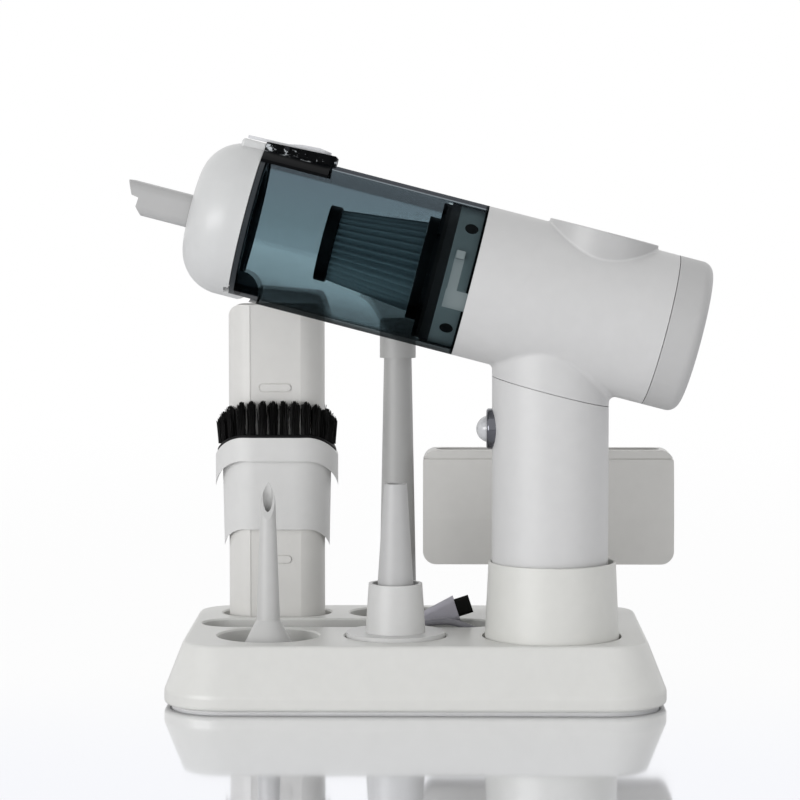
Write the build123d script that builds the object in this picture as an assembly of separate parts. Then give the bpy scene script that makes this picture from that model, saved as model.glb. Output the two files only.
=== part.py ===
from build123d import *
from math import asin, atan, cos, degrees, hypot, pi, radians, sin, sqrt, tan
import os

os.makedirs("parts", exist_ok=True)

# A cordless handheld vacuum cleaner on its storage dock, with its attachments and charging cable.
# Millimetres. X runs to the right, Y to the back and Z up.
# The origin is the middle of the pad's underside, which rests on the table.

# Dock
DOCK_LENGTH = 216.0
DOCK_DEPTH = 142.0
DOCK_HEIGHT = 28.0
DOCK_CORNER = 26.0
DOCK_INSET = 8.3
DOCK_SKIRT_TOP = 7.0
DOCK_WALL = 2.4
DOCK_TOP_EDGE = 2.0
DOCK_SHOULDER_EDGE = 5.0
DOCK_LOWER_EDGE = 1.8
TABLE_GAP = 1.1
PAD_THICKNESS = 1.5
PAD_INSET = 3.2
COVER_THICKNESS = 2.0
COVER_CLEARANCE = 0.2
POCKET_FLOOR = 5.5
POCKET_FLOOR_THICKNESS = 1.5
POCKET_WALL = 1.8
POCKET_BEVEL = 0.7
SCREW_SPREAD_X = 92.0
SCREW_SPREAD_Y = 53.0
SCREW_BOSS = 4.0
SCREW_HEAD = 2.8
SCREW_SHANK = 1.25

# Rows and columns of the dock's places
FRONT_ROW_Y = -31.0
TROUGH_Y = 5.5
BACK_ROW_Y = 40.0
LEFT_X = -64.0
MIDDLE_X = -8.7
SOCKET_X = 59.2
HANDLE_X = 58.2
WIDE_NOZZLE_X = 59.9
ROUND_POCKET = 22.0
BACK_POCKET_LENGTH = 44.0
BACK_POCKET_DEPTH = 33.0
TROUGH_LENGTH = 130.5
TROUGH_WIDTH = 25.8
TROUGH_X = -30.3

# Handle socket
RECESS_RADIUS = 30.2
RECESS_BEVEL = 0.2
COLLAR_TOP = 60.6
COLLAR_FOOT_RADIUS = 29.1
COLLAR_TOP_RADIUS = 27.6
COLLAR_BORE = 26.5
COLLAR_FLOOR = 2.5

# Vacuum barrel, measured along its own axis from the seam between cup and body
BARREL_TILT = 14.5
BARREL_RADIUS = 33.0
BARREL_WALL = 2.0
SEAM_AHEAD = 34.6
SEAM_RISE = 171.1
BODY_LENGTH = 84.3
REAR_CAP_LENGTH = 15.6
REAR_CAP_EDGE = 5.0
CUP_LENGTH = 99.3
NOSE_LENGTH = 23.7
NOSE_EDGE = 18.5
NOSE_DOME = 1.0
BODY_GAP = 0.3
SEAT_CLEARANCE = 0.05
SLIDE_CLEARANCE = 0.3

# Pod on top of the body and the neck below it
POD_X = 50.6
POD_RADIUS = 24.0
POD_RISE = 1.75
POD_CREASE = 1.0
POD_EDGE = 0.5
NECK_SEAM_Z = 134.5
NECK_SPIGOT = 5.0
NECK_FILLET = 2.5
BULKHEAD_X = 4.0
BULKHEAD_THICKNESS = 2.0
INTAKE_RADIUS = 12.0

# Handle
HANDLE_RADIUS = 25.2
HANDLE_WALL = 2.2
HANDLE_FOOT = 11.0
BASE_PLATE = 2.3
BASE_PLUG = 5.2
SEAM_LINE = 0.25
BUTTON_Z = 118.0
BUTTON_RADIUS = 5.65
BUTTON_RISE = 4.4
BUTTON_TRAVEL = 1.4
BEZEL_RADIUS = 8.85
BEZEL_BORE = 6.0
BEZEL_SLEEVE = 7.5
BEZEL_RISE = 2.4
CELL_RADIUS = 9.1
CELL_LENGTH = 65.0
CELL_GAP = 0.4
BOARD_X = 44.0
BOARD_THICKNESS = 1.6
BOARD_HALF_WIDTH = 12.5
BOARD_BOTTOM = 94.0
BOARD_TOP = 132.0
PORT_OFFSET = 17.0
PORT_LENGTH = 9.0
PORT_WIDTH = 3.2

# Bayonet between cup and body
RING_RADIUS = 30.7
RING_BORE = 27.2
RING_FRONT = -15.5
PEG_X = -7.2
PEG_LENGTH = 3.6
PEG_HALF_ANGLE = 3.1
PEG_ANGLE = 71.8
WINDOW_ANGLE = 106.7
WINDOW_HALF_ANGLE = 8.0
WINDOW_FRONT = -9.6
SLOT_CLEARANCE = 0.3
PLUG_RADIUS = 2.9
PLUG_X = -5.3

# Filter
FILTER_FRONT = -66.0
FILTER_CAP_THICKNESS = 5.5
FILTER_CAP_RADIUS = 16.5
PLEAT_COUNT = 32
PLEAT_FRONT_RADIUS = 15.5
PLEAT_REAR_RADIUS = 19.8
PLEAT_RATIO = 0.84
PLEAT_SHEET = 0.94
PLEATS_END = -23.5
FILTER_BASE_RADIUS = 22.5
FILTER_BASE_THICKNESS = 4.5
FILTER_FLANGE_RADIUS = 29.5
FILTER_BORE = 14.0

# Nose hinge, latch and inlet
HINGE_X = -95.2
HINGE_Z = -29.1
HINGE_PIN = 1.5
KNUCKLE_RADIUS = 3.4
KNUCKLE_HALF_WIDTH = 11.2
LUG_RADIUS = 9.0
LUG_HALF_WIDTH = 15.5
HINGE_SWEEP = 6.2
FRONT_RING_LENGTH = 2.4
FRONT_RING_SPIGOT = 0.6
LIP_RADIUS = 24.0
TAB_LENGTH = 10.2
TAB_HALF_WIDTH = 9.0
TAB_TOP = 34.9
LATCH_PIN_X = -90.0
LATCH_PIN_Z = 34.95
LATCH_PIN = 1.0
LATCH_HUB = 1.6
LEVER_FRONT = -107.5
LEVER_REAR = -71.4
LEVER_HALF_WIDTH = 6.6
LATCH_BASE_REAR = -68.0
LATCH_BASE_HALF_WIDTH = 9.5
LATCH_SADDLE_HALF_WIDTH = 19.0
LATCH_BASE_TOP = 37.0
CHEEK_RISE = 0.8
INLET_Z = -1.4
SPOUT_WIDTH = 30.0
SPOUT_HEIGHT = 13.8
SPOUT_CORNER = 4.0
SPOUT_WALL = 1.4
SPOUT_REAR = -107.0
SPOUT_TIP = -151.8
INLET_PLATE_X = -103.4
INLET_PLATE_THICKNESS = 1.6
SLEEVE_WALL = 1.6
FLAP_HINGE_Z = 8.3

# Fan and motor
SHROUD_RADIUS = 28.5
SHROUD_WALL = 1.2
BRACKET_X = 25.0
BRACKET_THICKNESS = 2.5
IMPELLER_RADIUS = 25.0
IMPELLER_BLADES = 9
IMPELLER_FRONT = 10.0
IMPELLER_REAR = 20.5
SHAFT_RADIUS = 1.25
MOTOR_RADIUS = 14.0
MOTOR_LENGTH = 29.5

# Crevice tube and its sliding brush
TUBE_WIDTH = 43.8
TUBE_DEPTH = 27.0
TUBE_WALL = 1.8
TUBE_TOP = 169.4
TUBE_CORNER = 6.0
PANEL_WIDTH = 23.0
PANEL_DEPTH = 0.7
DETENT_LENGTH = 14.0
DETENT_WIDTH = 3.2
DETENT_LOW_Z = 53.8
DETENT_PITCH = 78.2
DETENT_GROOVE = 0.45
BRUSH_WIDTH = 56.0
BRUSH_DEPTH = 39.0
BRUSH_WAIST_WIDTH = 50.2
BRUSH_WAIST_DEPTH = 32.8
BRUSH_HEM_WIDTH = 48.0
BRUSH_HEM_DEPTH = 29.8
BRUSH_RIM_Z = 109.6
BRUSH_LEDGE_Z = 99.0
BRUSH_HEM_Z = 67.6
BRUSH_RIM_DROP = 9.0
BRUSH_LEDGE_DROP = 12.5
BRUSH_HEM_DROP = 8.5
BRUSH_FLAT = 14.0
TUFT_COUNT = 30
STRANDS_PER_TUFT = 13
STRAND_LENGTH = 15.6
STRAND_RADIUS = 0.42
TUFT_RADIUS = 1.75
BACKING = 1.2

# Small nozzles
NOZZLE_FLANGE = 21.4
NOZZLE_FLANGE_THICKNESS = 3.5
POINTED_TOP = 94.7
POINTED_MOUTH = 77.5
POINTED_ARCH = 8.0
POINTED_WALL = 0.9
POINTED_SHAFT_TOP_RADIUS = 2.85
POINTED_SHAFT_FOOT_RADIUS = 5.1
POINTED_SHAFT_FOOT = 34.7
POINTED_FLARE_RADIUS = 18.5
NOZZLE_WALL = 1.3
CONE_FLANGE_TOP = 29.6
CONE_COLLAR_TOP = 50.8
CONE_COLLAR_FOOT_RADIUS = 13.0
CONE_COLLAR_TOP_RADIUS = 11.65
CONE_TUBE_TOP = 94.1
CONE_TUBE_TOP_RADIUS = 4.95
CONE_TUBE_EXIT_RADIUS = 7.75
CONE_TUBE_FOOT = 33.0
TALL_FOOT_RADIUS = 8.9
TALL_SHAFT_TOP_RADIUS = 6.2
TALL_SHAFT_TOP = 150.0
TALL_TIP_RADIUS = 8.2
TALL_TIP_OVERLAP = 5.0
TALL_TIP_LENGTH = 18.0
WIDE_WIDTH = 114.0
WIDE_BOTTOM = 51.5
WIDE_TOP = 103.3
WIDE_DEPTH = 24.0
WIDE_MOUTH_DEPTH = 17.0
WIDE_CORNER = 6.0
WIDE_GROOVE_DROP = 4.2
WIDE_NECK_RADIUS = 13.5
WIDE_SHOULDER = 72.0
WIDE_WALL = 2.0
GROOVE_DEPTH = 0.6
FOOT_HEIGHT = 9.0

# Charging cable
CABLE_RADIUS = 1.5
HANK_Y = 5.0
HANK_HALF_WIDTH = 10.0
HANK_LEFT = -25.6
HANK_RUN = 45.0
HANK_LEVELS = 4
HANK_PITCH = 3.5
HANK_FLOOR_Z = 7.7
HANK_START_X = 6.6
TIE_X = -4.0
TIE_WIDTH = 5.0
TIE_THICKNESS = 0.5
TIE_CLEARANCE = 0.1
PLUG_TILT = 18.0
PLUG_FRONT_X = 18.1
PLUG_Y = 15.0
PLUG_FRONT_Z = 33.4
OVERMOULD_LENGTH = 15.0
OVERMOULD_WIDTH = 11.8
OVERMOULD_DEPTH = 5.6
RELIEF_LENGTH = 9.0
USB_C_WIDTH = 8.25
USB_C_DEPTH = 2.45
USB_C_LENGTH = 6.65
USB_A_Y = 5.5
USB_A_Z = 10.7
USB_A_TAIL_X = -53.5
USB_A_GRIP = 20.0
USB_A_WIDTH = 12.0
USB_A_DEPTH = 4.5
USB_A_LENGTH = 13.5

# Places that follow from the driving dimensions
SEAM_X = HANDLE_X - SEAM_AHEAD
SEAM_Z = HANDLE_FOOT + SEAM_RISE
BARREL = Pos(SEAM_X, FRONT_ROW_Y, SEAM_Z) * Rot(0, BARREL_TILT, 0)
CUP_FRONT = -CUP_LENGTH
NOSE_FRONT = CUP_FRONT - NOSE_LENGTH
TALL_TIP_BOTTOM = TALL_SHAFT_TOP - TALL_TIP_OVERLAP
TALL_TIP_TOP = TALL_TIP_BOTTOM + TALL_TIP_LENGTH
CUP_BORE = BARREL_RADIUS - BARREL_WALL
HANDLE_BORE = HANDLE_RADIUS - HANDLE_WALL
PLATE_BACK = INLET_PLATE_X + INLET_PLATE_THICKNESS


def save(name, *solids):
    """Write one node, as one solid or as a group of separate solids."""
    shape = solids[0] if len(solids) == 1 else Compound(children=list(solids))
    export_step(shape, f"parts/{name}.step")


def rod(radius, start, end):
    """A cylinder along X."""
    return Pos(start, 0, 0) * Rot(0, 90, 0) * Cylinder(
        radius, end - start, align=(Align.CENTER, Align.CENTER, Align.MIN))


def ring(outer, inner, start, end):
    """A ring along X."""
    return rod(outer, start, end) - rod(inner, start - 1, end + 1)


def post(radius, bottom, top, x=0.0, y=0.0):
    """A standing cylinder."""
    return Pos(x, y, bottom) * Cylinder(
        radius, top - bottom, align=(Align.CENTER, Align.CENTER, Align.MIN))


def cone(bottom_radius, top_radius, bottom, top, x=0.0, y=0.0):
    """A standing cone."""
    return Pos(x, y, bottom) * Cone(
        bottom_radius, top_radius, top - bottom, align=(Align.CENTER, Align.CENTER, Align.MIN))


def block(x0, x1, y0, y1, z0, z1):
    """A box between limits."""
    return Pos(x0, y0, z0) * Box(
        x1 - x0, y1 - y0, z1 - z0, align=(Align.MIN, Align.MIN, Align.MIN))


def prism(sketch, bottom, top, taper=0.0):
    """A flat outline drawn upwards."""
    return Pos(0, 0, bottom) * extrude(sketch, top - bottom, taper=taper)


def cross_rod(radius, x, z, half_width):
    """A cylinder along Y."""
    return Pos(x, 0, z) * Rot(90, 0, 0) * Cylinder(radius, 2 * half_width)


def side_profile(points, half_width):
    """A closed outline in X and Z, drawn to both sides."""
    face = Plane.XZ * make_face(Polyline(*points, close=True))
    return extrude(face, half_width, both=True)


def sector(start, end, inner, outer, first_angle, last_angle):
    """A piece of a ring round X, with its angles counted from the top towards the front."""
    face = Plane.XZ * Pos((start + end) / 2, (inner + outer) / 2) * Rectangle(
        end - start, outer - inner)
    return Rot(first_angle, 0, 0) * revolve(face, Axis.X, last_angle - first_angle)


def edges_at(shape, height, tolerance=0.02):
    """The edges that lie level at one height."""
    return shape.edges().filter_by(
        lambda e: abs(e.bounding_box().min.Z - height) < tolerance
        and abs(e.bounding_box().max.Z - height) < tolerance)


# Dock

def dock_outline(grow=0.0):
    return RectangleRounded(
        DOCK_LENGTH + 2 * grow, DOCK_DEPTH + 2 * grow, DOCK_CORNER + grow)


def dock_block(grow, bottom, top):
    """The dock's outer form, or the hollow inside it when it shrinks by the wall."""
    slope = degrees(atan(DOCK_INSET / (DOCK_HEIGHT - DOCK_SKIRT_TOP)))
    skirt = prism(dock_outline(grow), bottom, DOCK_SKIRT_TOP)
    return skirt + prism(dock_outline(grow), DOCK_SKIRT_TOP, top, slope)


def pocket_outlines():
    """Every place in the dock's top: its outline, its middle and its bevel."""
    tube_pocket = SlotOverall(TUBE_WIDTH + BACK_POCKET_DEPTH - TUBE_DEPTH, BACK_POCKET_DEPTH)
    foot_pocket = SlotOverall(BACK_POCKET_LENGTH, BACK_POCKET_DEPTH)
    return [
        (Circle(ROUND_POCKET), LEFT_X, FRONT_ROW_Y, POCKET_BEVEL),
        (Circle(ROUND_POCKET), MIDDLE_X, FRONT_ROW_Y, POCKET_BEVEL),
        (Circle(RECESS_RADIUS), SOCKET_X, FRONT_ROW_Y, RECESS_BEVEL),
        (tube_pocket, LEFT_X, BACK_ROW_Y, POCKET_BEVEL),
        (foot_pocket, MIDDLE_X, BACK_ROW_Y, POCKET_BEVEL),
        (foot_pocket, WIDE_NOZZLE_X, BACK_ROW_Y, POCKET_BEVEL),
        (SlotOverall(TROUGH_LENGTH, TROUGH_WIDTH), TROUGH_X, TROUGH_Y, POCKET_BEVEL),
    ]


def screw_places():
    return [(sx * SCREW_SPREAD_X, sy * SCREW_SPREAD_Y) for sx in (-1, 1) for sy in (-1, 1)]


def make_dock_shell():
    shell = dock_block(0, TABLE_GAP, DOCK_HEIGHT)
    shell = fillet(edges_at(shell, DOCK_SKIRT_TOP), DOCK_SHOULDER_EDGE)
    shell = fillet(edges_at(shell, DOCK_HEIGHT), DOCK_TOP_EDGE)
    shell = fillet(edges_at(shell, TABLE_GAP), DOCK_LOWER_EDGE)
    outer = shell
    shell -= dock_block(-DOCK_WALL, TABLE_GAP - 1, DOCK_HEIGHT - DOCK_WALL)
    for outline, x, y, bevel in pocket_outlines():
        cup = prism(offset(outline, POCKET_WALL), POCKET_FLOOR - POCKET_FLOOR_THICKNESS,
                    DOCK_HEIGHT - DOCK_WALL / 2)
        shell += Pos(x, y, 0) * cup & outer
    for x, y in screw_places():
        shell += post(SCREW_BOSS, PAD_THICKNESS + COVER_THICKNESS, DOCK_HEIGHT, x, y) & outer
    for outline, x, y, bevel in pocket_outlines():
        shell -= Pos(x, y, 0) * prism(outline, POCKET_FLOOR, DOCK_HEIGHT + 1)
        mouth = extrude(offset(outline, bevel), -bevel, taper=45)
        shell -= Pos(x, y, DOCK_HEIGHT) * mouth
    for x, y in screw_places():
        shell -= post(SCREW_SHANK - 0.1, 0, DOCK_HEIGHT - 2 * DOCK_WALL, x, y)
    return shell


def make_bottom_cover():
    top = PAD_THICKNESS + COVER_THICKNESS
    cover = prism(dock_outline(-DOCK_WALL - COVER_CLEARANCE), PAD_THICKNESS, top)
    for x, y in screw_places():
        cover -= post(SCREW_SHANK + 0.1, 0, top + 1, x, y)
        cover -= post(SCREW_HEAD + 0.1, 0, PAD_THICKNESS + COVER_THICKNESS * 0.6, x, y)
    return cover


def make_dock_screws():
    screws = []
    seat = PAD_THICKNESS + COVER_THICKNESS * 0.6
    for x, y in screw_places():
        head = post(SCREW_HEAD, seat - 1.1, seat, x, y)
        screws.append(head + post(SCREW_SHANK - 0.1, seat, seat + 8, x, y))
    return screws


def make_socket():
    """The collar that the handle stands in, seated in the dock's recess."""
    profile = make_face(Polyline(
        (0, HANDLE_FOOT - COLLAR_FLOOR), (COLLAR_BORE - 2, HANDLE_FOOT - COLLAR_FLOOR),
        (COLLAR_BORE - 2, POCKET_FLOOR), (COLLAR_FOOT_RADIUS, POCKET_FLOOR),
        (COLLAR_FOOT_RADIUS, DOCK_HEIGHT), (COLLAR_TOP_RADIUS, COLLAR_TOP),
        (COLLAR_BORE, COLLAR_TOP), (COLLAR_BORE, HANDLE_FOOT), (0, HANDLE_FOOT), close=True))
    collar = revolve(Plane.XZ * profile, Axis.Z)
    rim = edges_at(collar, COLLAR_TOP)
    return Pos(SOCKET_X, FRONT_ROW_Y, 0) * fillet(rim, (COLLAR_TOP_RADIUS - COLLAR_BORE) * 0.45)


# Vacuum body

def seam_side(above, drop=0.0):
    """A large block above or below the tilted seam between neck and handle."""
    size = 8 * HANDLE_RADIUS
    half = Align.MIN if above else Align.MAX
    return Pos(HANDLE_X, FRONT_ROW_Y, NECK_SEAM_Z) * Rot(0, BARREL_TILT, 0) * Pos(
        0, 0, -drop) * Box(size, size, size, align=(Align.CENTER, Align.CENTER, half))


def seam_slice(low, high):
    """A slab parallel to the tilted seam, between two heights above it."""
    size = 8 * HANDLE_RADIUS
    return Pos(HANDLE_X, FRONT_ROW_Y, NECK_SEAM_Z) * Rot(0, BARREL_TILT, 0) * Pos(
        0, 0, low) * Box(size, size, high - low, align=(Align.CENTER, Align.CENTER, Align.MIN))


def column(radius, bottom, top):
    return post(radius, bottom, top, HANDLE_X, FRONT_ROW_Y)


def barrel_height(x):
    """Height of the barrel's axis above a place on the table."""
    return SEAM_Z - (x - SEAM_X) * tan(radians(BARREL_TILT))


def make_pod():
    """The round pod on top, whose flat face lies a little above the barrel."""
    pod = post(POD_RADIUS, 0, BARREL_RADIUS + POD_RISE, POD_X)
    return fillet(pod.edges().sort_by(Axis.Z)[-1], POD_EDGE)


def crossing_edges(shell, above):
    """The creases where round bodies cross, above or below the barrel's axis."""
    side = 1 if above else -1
    axis_z = barrel_height(HANDLE_X)
    return [e for e in shell.edges().filter_by(GeomType.BSPLINE)
            if side * (e.center().Z - axis_z) > 0 and e.length > POD_RADIUS]


def make_neck_spigot():
    """The ring below the neck that plugs into the handle, and its root inside the neck."""
    axis_z = barrel_height(HANDLE_X)
    inner = column(HANDLE_BORE - BARREL_WALL, 0, axis_z)
    spigot = column(HANDLE_BORE - 2 * SEAT_CLEARANCE, 0, axis_z) & seam_slice(-NECK_SPIGOT, 0.5)
    root = column(HANDLE_BORE + 0.5, 0, axis_z) & seam_slice(0, BARREL_WALL)
    return spigot + root - inner


def make_body_shell():
    """The rear barrel with its pod and neck, open at the back, with a holed wall in front."""
    axis_z = barrel_height(HANDLE_X)
    shell = BARREL * (rod(BARREL_RADIUS, 0, BODY_LENGTH) + make_pod())
    shell += column(HANDLE_RADIUS, NECK_SEAM_Z - HANDLE_RADIUS, axis_z) & seam_side(True)
    shell = fillet(crossing_edges(shell, False), NECK_FILLET)
    shell = fillet(crossing_edges(shell, True), POD_CREASE)
    shell -= BARREL * rod(CUP_BORE, BULKHEAD_X + BULKHEAD_THICKNESS, BODY_LENGTH + 1)
    shell -= BARREL * rod(CUP_BORE, -1, BULKHEAD_X)
    shell -= BARREL * rod(INTAKE_RADIUS, -1, BULKHEAD_X + 2 * BULKHEAD_THICKNESS)
    shell -= column(HANDLE_BORE, NECK_SEAM_Z - HANDLE_RADIUS, axis_z) & seam_side(True, 1)
    return shell + make_neck_spigot()


def make_handle_shell():
    shell = column(HANDLE_RADIUS, HANDLE_FOOT + BASE_PLATE, SEAM_Z)
    shell &= seam_side(False, SEAM_LINE)
    shell -= column(HANDLE_BORE, 0, SEAM_Z)
    for side in (-1, 1):
        rail = block(BOARD_X - 6, BOARD_X + 4, 0, 2.5, BOARD_BOTTOM - 2, BOARD_TOP)
        rail = Pos(0, FRONT_ROW_Y - 1.25 + side * (BOARD_HALF_WIDTH + 0.85), 0) * rail
        shell += rail & column(HANDLE_BORE + 1, 0, SEAM_Z)
    shell -= grown_board(0.1)
    hole = rod(BEZEL_SLEEVE + SEAT_CLEARANCE, HANDLE_X - HANDLE_RADIUS - 5, HANDLE_X - 15)
    return shell - Pos(0, FRONT_ROW_Y, BUTTON_Z) * hole


def grown_board(grow):
    return block(BOARD_X - grow, BOARD_X + BOARD_THICKNESS + grow,
                 FRONT_ROW_Y - BOARD_HALF_WIDTH - grow, FRONT_ROW_Y + BOARD_HALF_WIDTH + grow,
                 BOARD_BOTTOM - grow, BOARD_TOP + grow)


def make_handle_base():
    plate = column(HANDLE_RADIUS, HANDLE_FOOT, HANDLE_FOOT + BASE_PLATE)
    plate = fillet(edges_at(plate, HANDLE_FOOT), BASE_PLATE * 0.4)
    top = HANDLE_FOOT + BASE_PLATE + BASE_PLUG
    base = plate + column(HANDLE_BORE - 2 * SEAT_CLEARANCE, HANDLE_FOOT + BASE_PLATE, top)
    opening = Rot(0, 0, 90) * SlotOverall(PORT_LENGTH + 0.2, PORT_WIDTH + 0.2)
    return base - Pos(HANDLE_X + PORT_OFFSET, FRONT_ROW_Y, 0) * prism(opening, 0, top + 1)


def make_charge_port():
    """A USB-C socket that opens through the handle's base."""
    bottom = HANDLE_FOOT + 0.4
    top = HANDLE_FOOT + BASE_PLATE + BASE_PLUG
    outline = SlotOverall(PORT_LENGTH, PORT_WIDTH)
    shell = prism(outline, bottom, top) - prism(offset(outline, -0.3), bottom - 1, top - 0.8)
    tongue = prism(Rectangle(PORT_LENGTH * 0.74, 0.7), bottom + 1, top - 0.5)
    return Pos(HANDLE_X + PORT_OFFSET, FRONT_ROW_Y, 0) * Rot(0, 0, 90) * (shell + tongue)


def make_battery_cells():
    cells = []
    bottom = HANDLE_FOOT + BASE_PLATE + BASE_PLUG
    for side in (-1, 1):
        y = FRONT_ROW_Y + side * (CELL_RADIUS + CELL_GAP / 2)
        cell = post(CELL_RADIUS, bottom, bottom + CELL_LENGTH - 1.5, HANDLE_X, y)
        nub = post(CELL_RADIUS * 0.35, bottom + CELL_LENGTH - 1.5, bottom + CELL_LENGTH,
                   HANDLE_X, y)
        cells.append(cell + nub)
    return cells


def make_battery_holder():
    """A plate that holds the upper ends of the cells."""
    cells_top = HANDLE_FOOT + BASE_PLATE + BASE_PLUG + CELL_LENGTH
    holder = column(HANDLE_BORE - 2 * SEAT_CLEARANCE, cells_top - 5, cells_top + 2)
    for side in (-1, 1):
        y = FRONT_ROW_Y + side * (CELL_RADIUS + CELL_GAP / 2)
        holder -= post(CELL_RADIUS + SEAT_CLEARANCE, cells_top - 6, cells_top, HANDLE_X, y)
    return holder - column(3.5, 0, SEAM_Z)


def make_circuit_board():
    board = grown_board(0)
    chip_x = BOARD_X + BOARD_THICKNESS
    for z, height, width in ((100, 7, 7), (112, 5, 9), (124, 4, 6)):
        board += block(chip_x, chip_x + 1.2, FRONT_ROW_Y - width / 2, FRONT_ROW_Y + width / 2,
                       z, z + height)
    return board


def make_switch():
    gap = 0.1
    front = HANDLE_X - HANDLE_RADIUS - BEZEL_RISE - BUTTON_RISE + stem_length() + BUTTON_TRAVEL
    return block(front + gap, BOARD_X, FRONT_ROW_Y - 3, FRONT_ROW_Y + 3, BUTTON_Z - 3, BUTTON_Z + 3)


def stem_length():
    return 13.5


def make_button_bezel():
    """A chromed ring on the side of the handle, with a sleeve through its wall."""
    face_x = HANDLE_X - HANDLE_RADIUS - BEZEL_RISE
    flange = rod(BEZEL_RADIUS, face_x, face_x + BEZEL_RADIUS)
    flange = fillet(flange.edges().sort_by(Axis.X)[0], 1.1)
    flange = Pos(0, FRONT_ROW_Y, BUTTON_Z) * flange - column(HANDLE_RADIUS, 0, SEAM_Z)
    sleeve = Pos(0, FRONT_ROW_Y, BUTTON_Z) * rod(BEZEL_SLEEVE, face_x + 1.2, face_x + 7.9)
    bore = Pos(0, FRONT_ROW_Y, BUTTON_Z) * rod(BEZEL_BORE, face_x - 1, face_x + 12)
    return flange + sleeve - bore


def make_power_button():
    """A domed button that slides in the bezel and presses the switch with its stem."""
    apex = HANDLE_X - HANDLE_RADIUS - BEZEL_RISE - BUTTON_RISE
    ball = (BUTTON_RADIUS ** 2 + BUTTON_RISE ** 2) / (2 * BUTTON_RISE)
    dome = Pos(apex + ball, 0, 0) * Sphere(ball) & rod(BUTTON_RADIUS, apex - 1, apex + BUTTON_RISE)
    sleeve_end = HANDLE_X - HANDLE_RADIUS - BEZEL_RISE + 7.9
    button = dome + rod(BUTTON_RADIUS, apex + BUTTON_RISE, sleeve_end + 0.1)
    button += rod(BEZEL_BORE + 1, sleeve_end + 0.1, sleeve_end + 0.9)
    button += rod(2, sleeve_end, apex + stem_length())
    return Pos(0, FRONT_ROW_Y, BUTTON_Z) * button


# Fan and motor, in the barrel's frame

def make_fan_shroud():
    front = BULKHEAD_X + BULKHEAD_THICKNESS
    shroud = ring(SHROUD_RADIUS, SHROUD_RADIUS - SHROUD_WALL, front, BRACKET_X)
    return shroud + ring(SHROUD_RADIUS, INTAKE_RADIUS, front, front + SHROUD_WALL)


def blade_outline():
    """One backward-swept blade, seen along the shaft."""
    hub = 6.0
    outer = IMPELLER_RADIUS - 0.5
    mid = (hub + outer) / 2
    sweep = radians(46)
    tip = (outer * cos(sweep), outer * sin(sweep))
    middle = (mid * cos(sweep * 0.36), mid * sin(sweep * 0.36))
    thickness = 1.0
    inner = ThreePointArc((hub - 1, -thickness / 2), middle, tip)
    back = ThreePointArc((hub - 1, thickness / 2),
                         (middle[0] - thickness * 0.5, middle[1] + thickness),
                         (tip[0] - thickness, tip[1] + thickness * 0.3))
    return make_face([inner, Line(inner @ 1, back @ 1), back, Line(back @ 0, inner @ 0)])


def make_impeller():
    back = ring(IMPELLER_RADIUS, SHAFT_RADIUS + 0.01, IMPELLER_REAR - 1.4, IMPELLER_REAR)
    hub = ring(6, SHAFT_RADIUS + 0.01, IMPELLER_FRONT + 1, IMPELLER_REAR)
    wheel = back + hub
    outline = Plane.YZ * blade_outline()
    for turn in range(IMPELLER_BLADES):
        blade = Pos(IMPELLER_FRONT, 0, 0) * Rot(360 / IMPELLER_BLADES * turn, 0, 0) * extrude(
            outline, IMPELLER_REAR - IMPELLER_FRONT - 1)
        wheel += blade
    return wheel


def make_motor_bracket():
    rear = BRACKET_X + BRACKET_THICKNESS
    bracket = ring(CUP_BORE - SEAT_CLEARANCE, 4, BRACKET_X, rear)
    for turn in range(6):
        bracket -= sector(BRACKET_X - 1, rear + 1, 17, 27, turn * 60 + 8, turn * 60 + 52)
    for angle in (0, 180):
        bracket -= Rot(angle, 0, 0) * Pos(0, 0, 8) * rod(1.1, BRACKET_X - 1, rear + 1)
    return bracket


def make_motor():
    front = BRACKET_X + BRACKET_THICKNESS
    rear = front + MOTOR_LENGTH
    can = rod(MOTOR_RADIUS, front, rear) + rod(5, rear, rear + 3)
    can -= rod(SHAFT_RADIUS + SEAT_CLEARANCE, front - 1, front + 7)
    for angle in (0, 180):
        can -= Rot(angle, 0, 0) * Pos(0, 0, 8) * rod(1.05, front - 1, front + 5)
    for turn in range(4):
        can -= Rot(turn * 90 + 45, 0, 0) * Pos(rear - 2, 0, MOTOR_RADIUS) * Box(7, 6, 3)
    return can


def make_motor_screws():
    head = rod(1.9, BRACKET_X - 1.2, BRACKET_X)
    screw = head + rod(1.0, BRACKET_X, BRACKET_X + BRACKET_THICKNESS + 4)
    return [Rot(angle, 0, 0) * Pos(0, 0, 8) * screw for angle in (0, 180)]


# Bayonet, rear cap and filter

def make_bayonet_ring():
    """The ring that carries the cup and the filter, with its two square pegs."""
    body = ring(RING_RADIUS, RING_BORE, RING_FRONT, 0)
    body += ring(CUP_BORE - SEAT_CLEARANCE, RING_BORE, 0, BULKHEAD_X)
    for half_turn in (0, 180):
        body += Rot(half_turn, 0, 0) * sector(
            PEG_X - PEG_LENGTH / 2, PEG_X + PEG_LENGTH / 2, RING_RADIUS - 0.5,
            BARREL_RADIUS - 0.4, PEG_ANGLE - PEG_HALF_ANGLE, PEG_ANGLE + PEG_HALF_ANGLE)
    for angle in (45, 135, 225, 315):
        body -= Rot(angle, 0, 0) * Pos(PLUG_X, 0, RING_RADIUS - 2) * Cylinder(PLUG_RADIUS, 4)
    return body + ring(RING_BORE + 0.6, RING_BORE, RING_FRONT, BULKHEAD_X)


def make_ring_plugs():
    """Dark round plugs set into the bayonet ring."""
    depth = RING_RADIUS - RING_BORE - 0.9
    plug = Pos(PLUG_X, 0, RING_RADIUS - 0.2 - depth / 2) * Cylinder(PLUG_RADIUS - 0.02, depth)
    return [Rot(angle, 0, 0) * plug for angle in (45, 135, 225, 315)]


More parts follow.
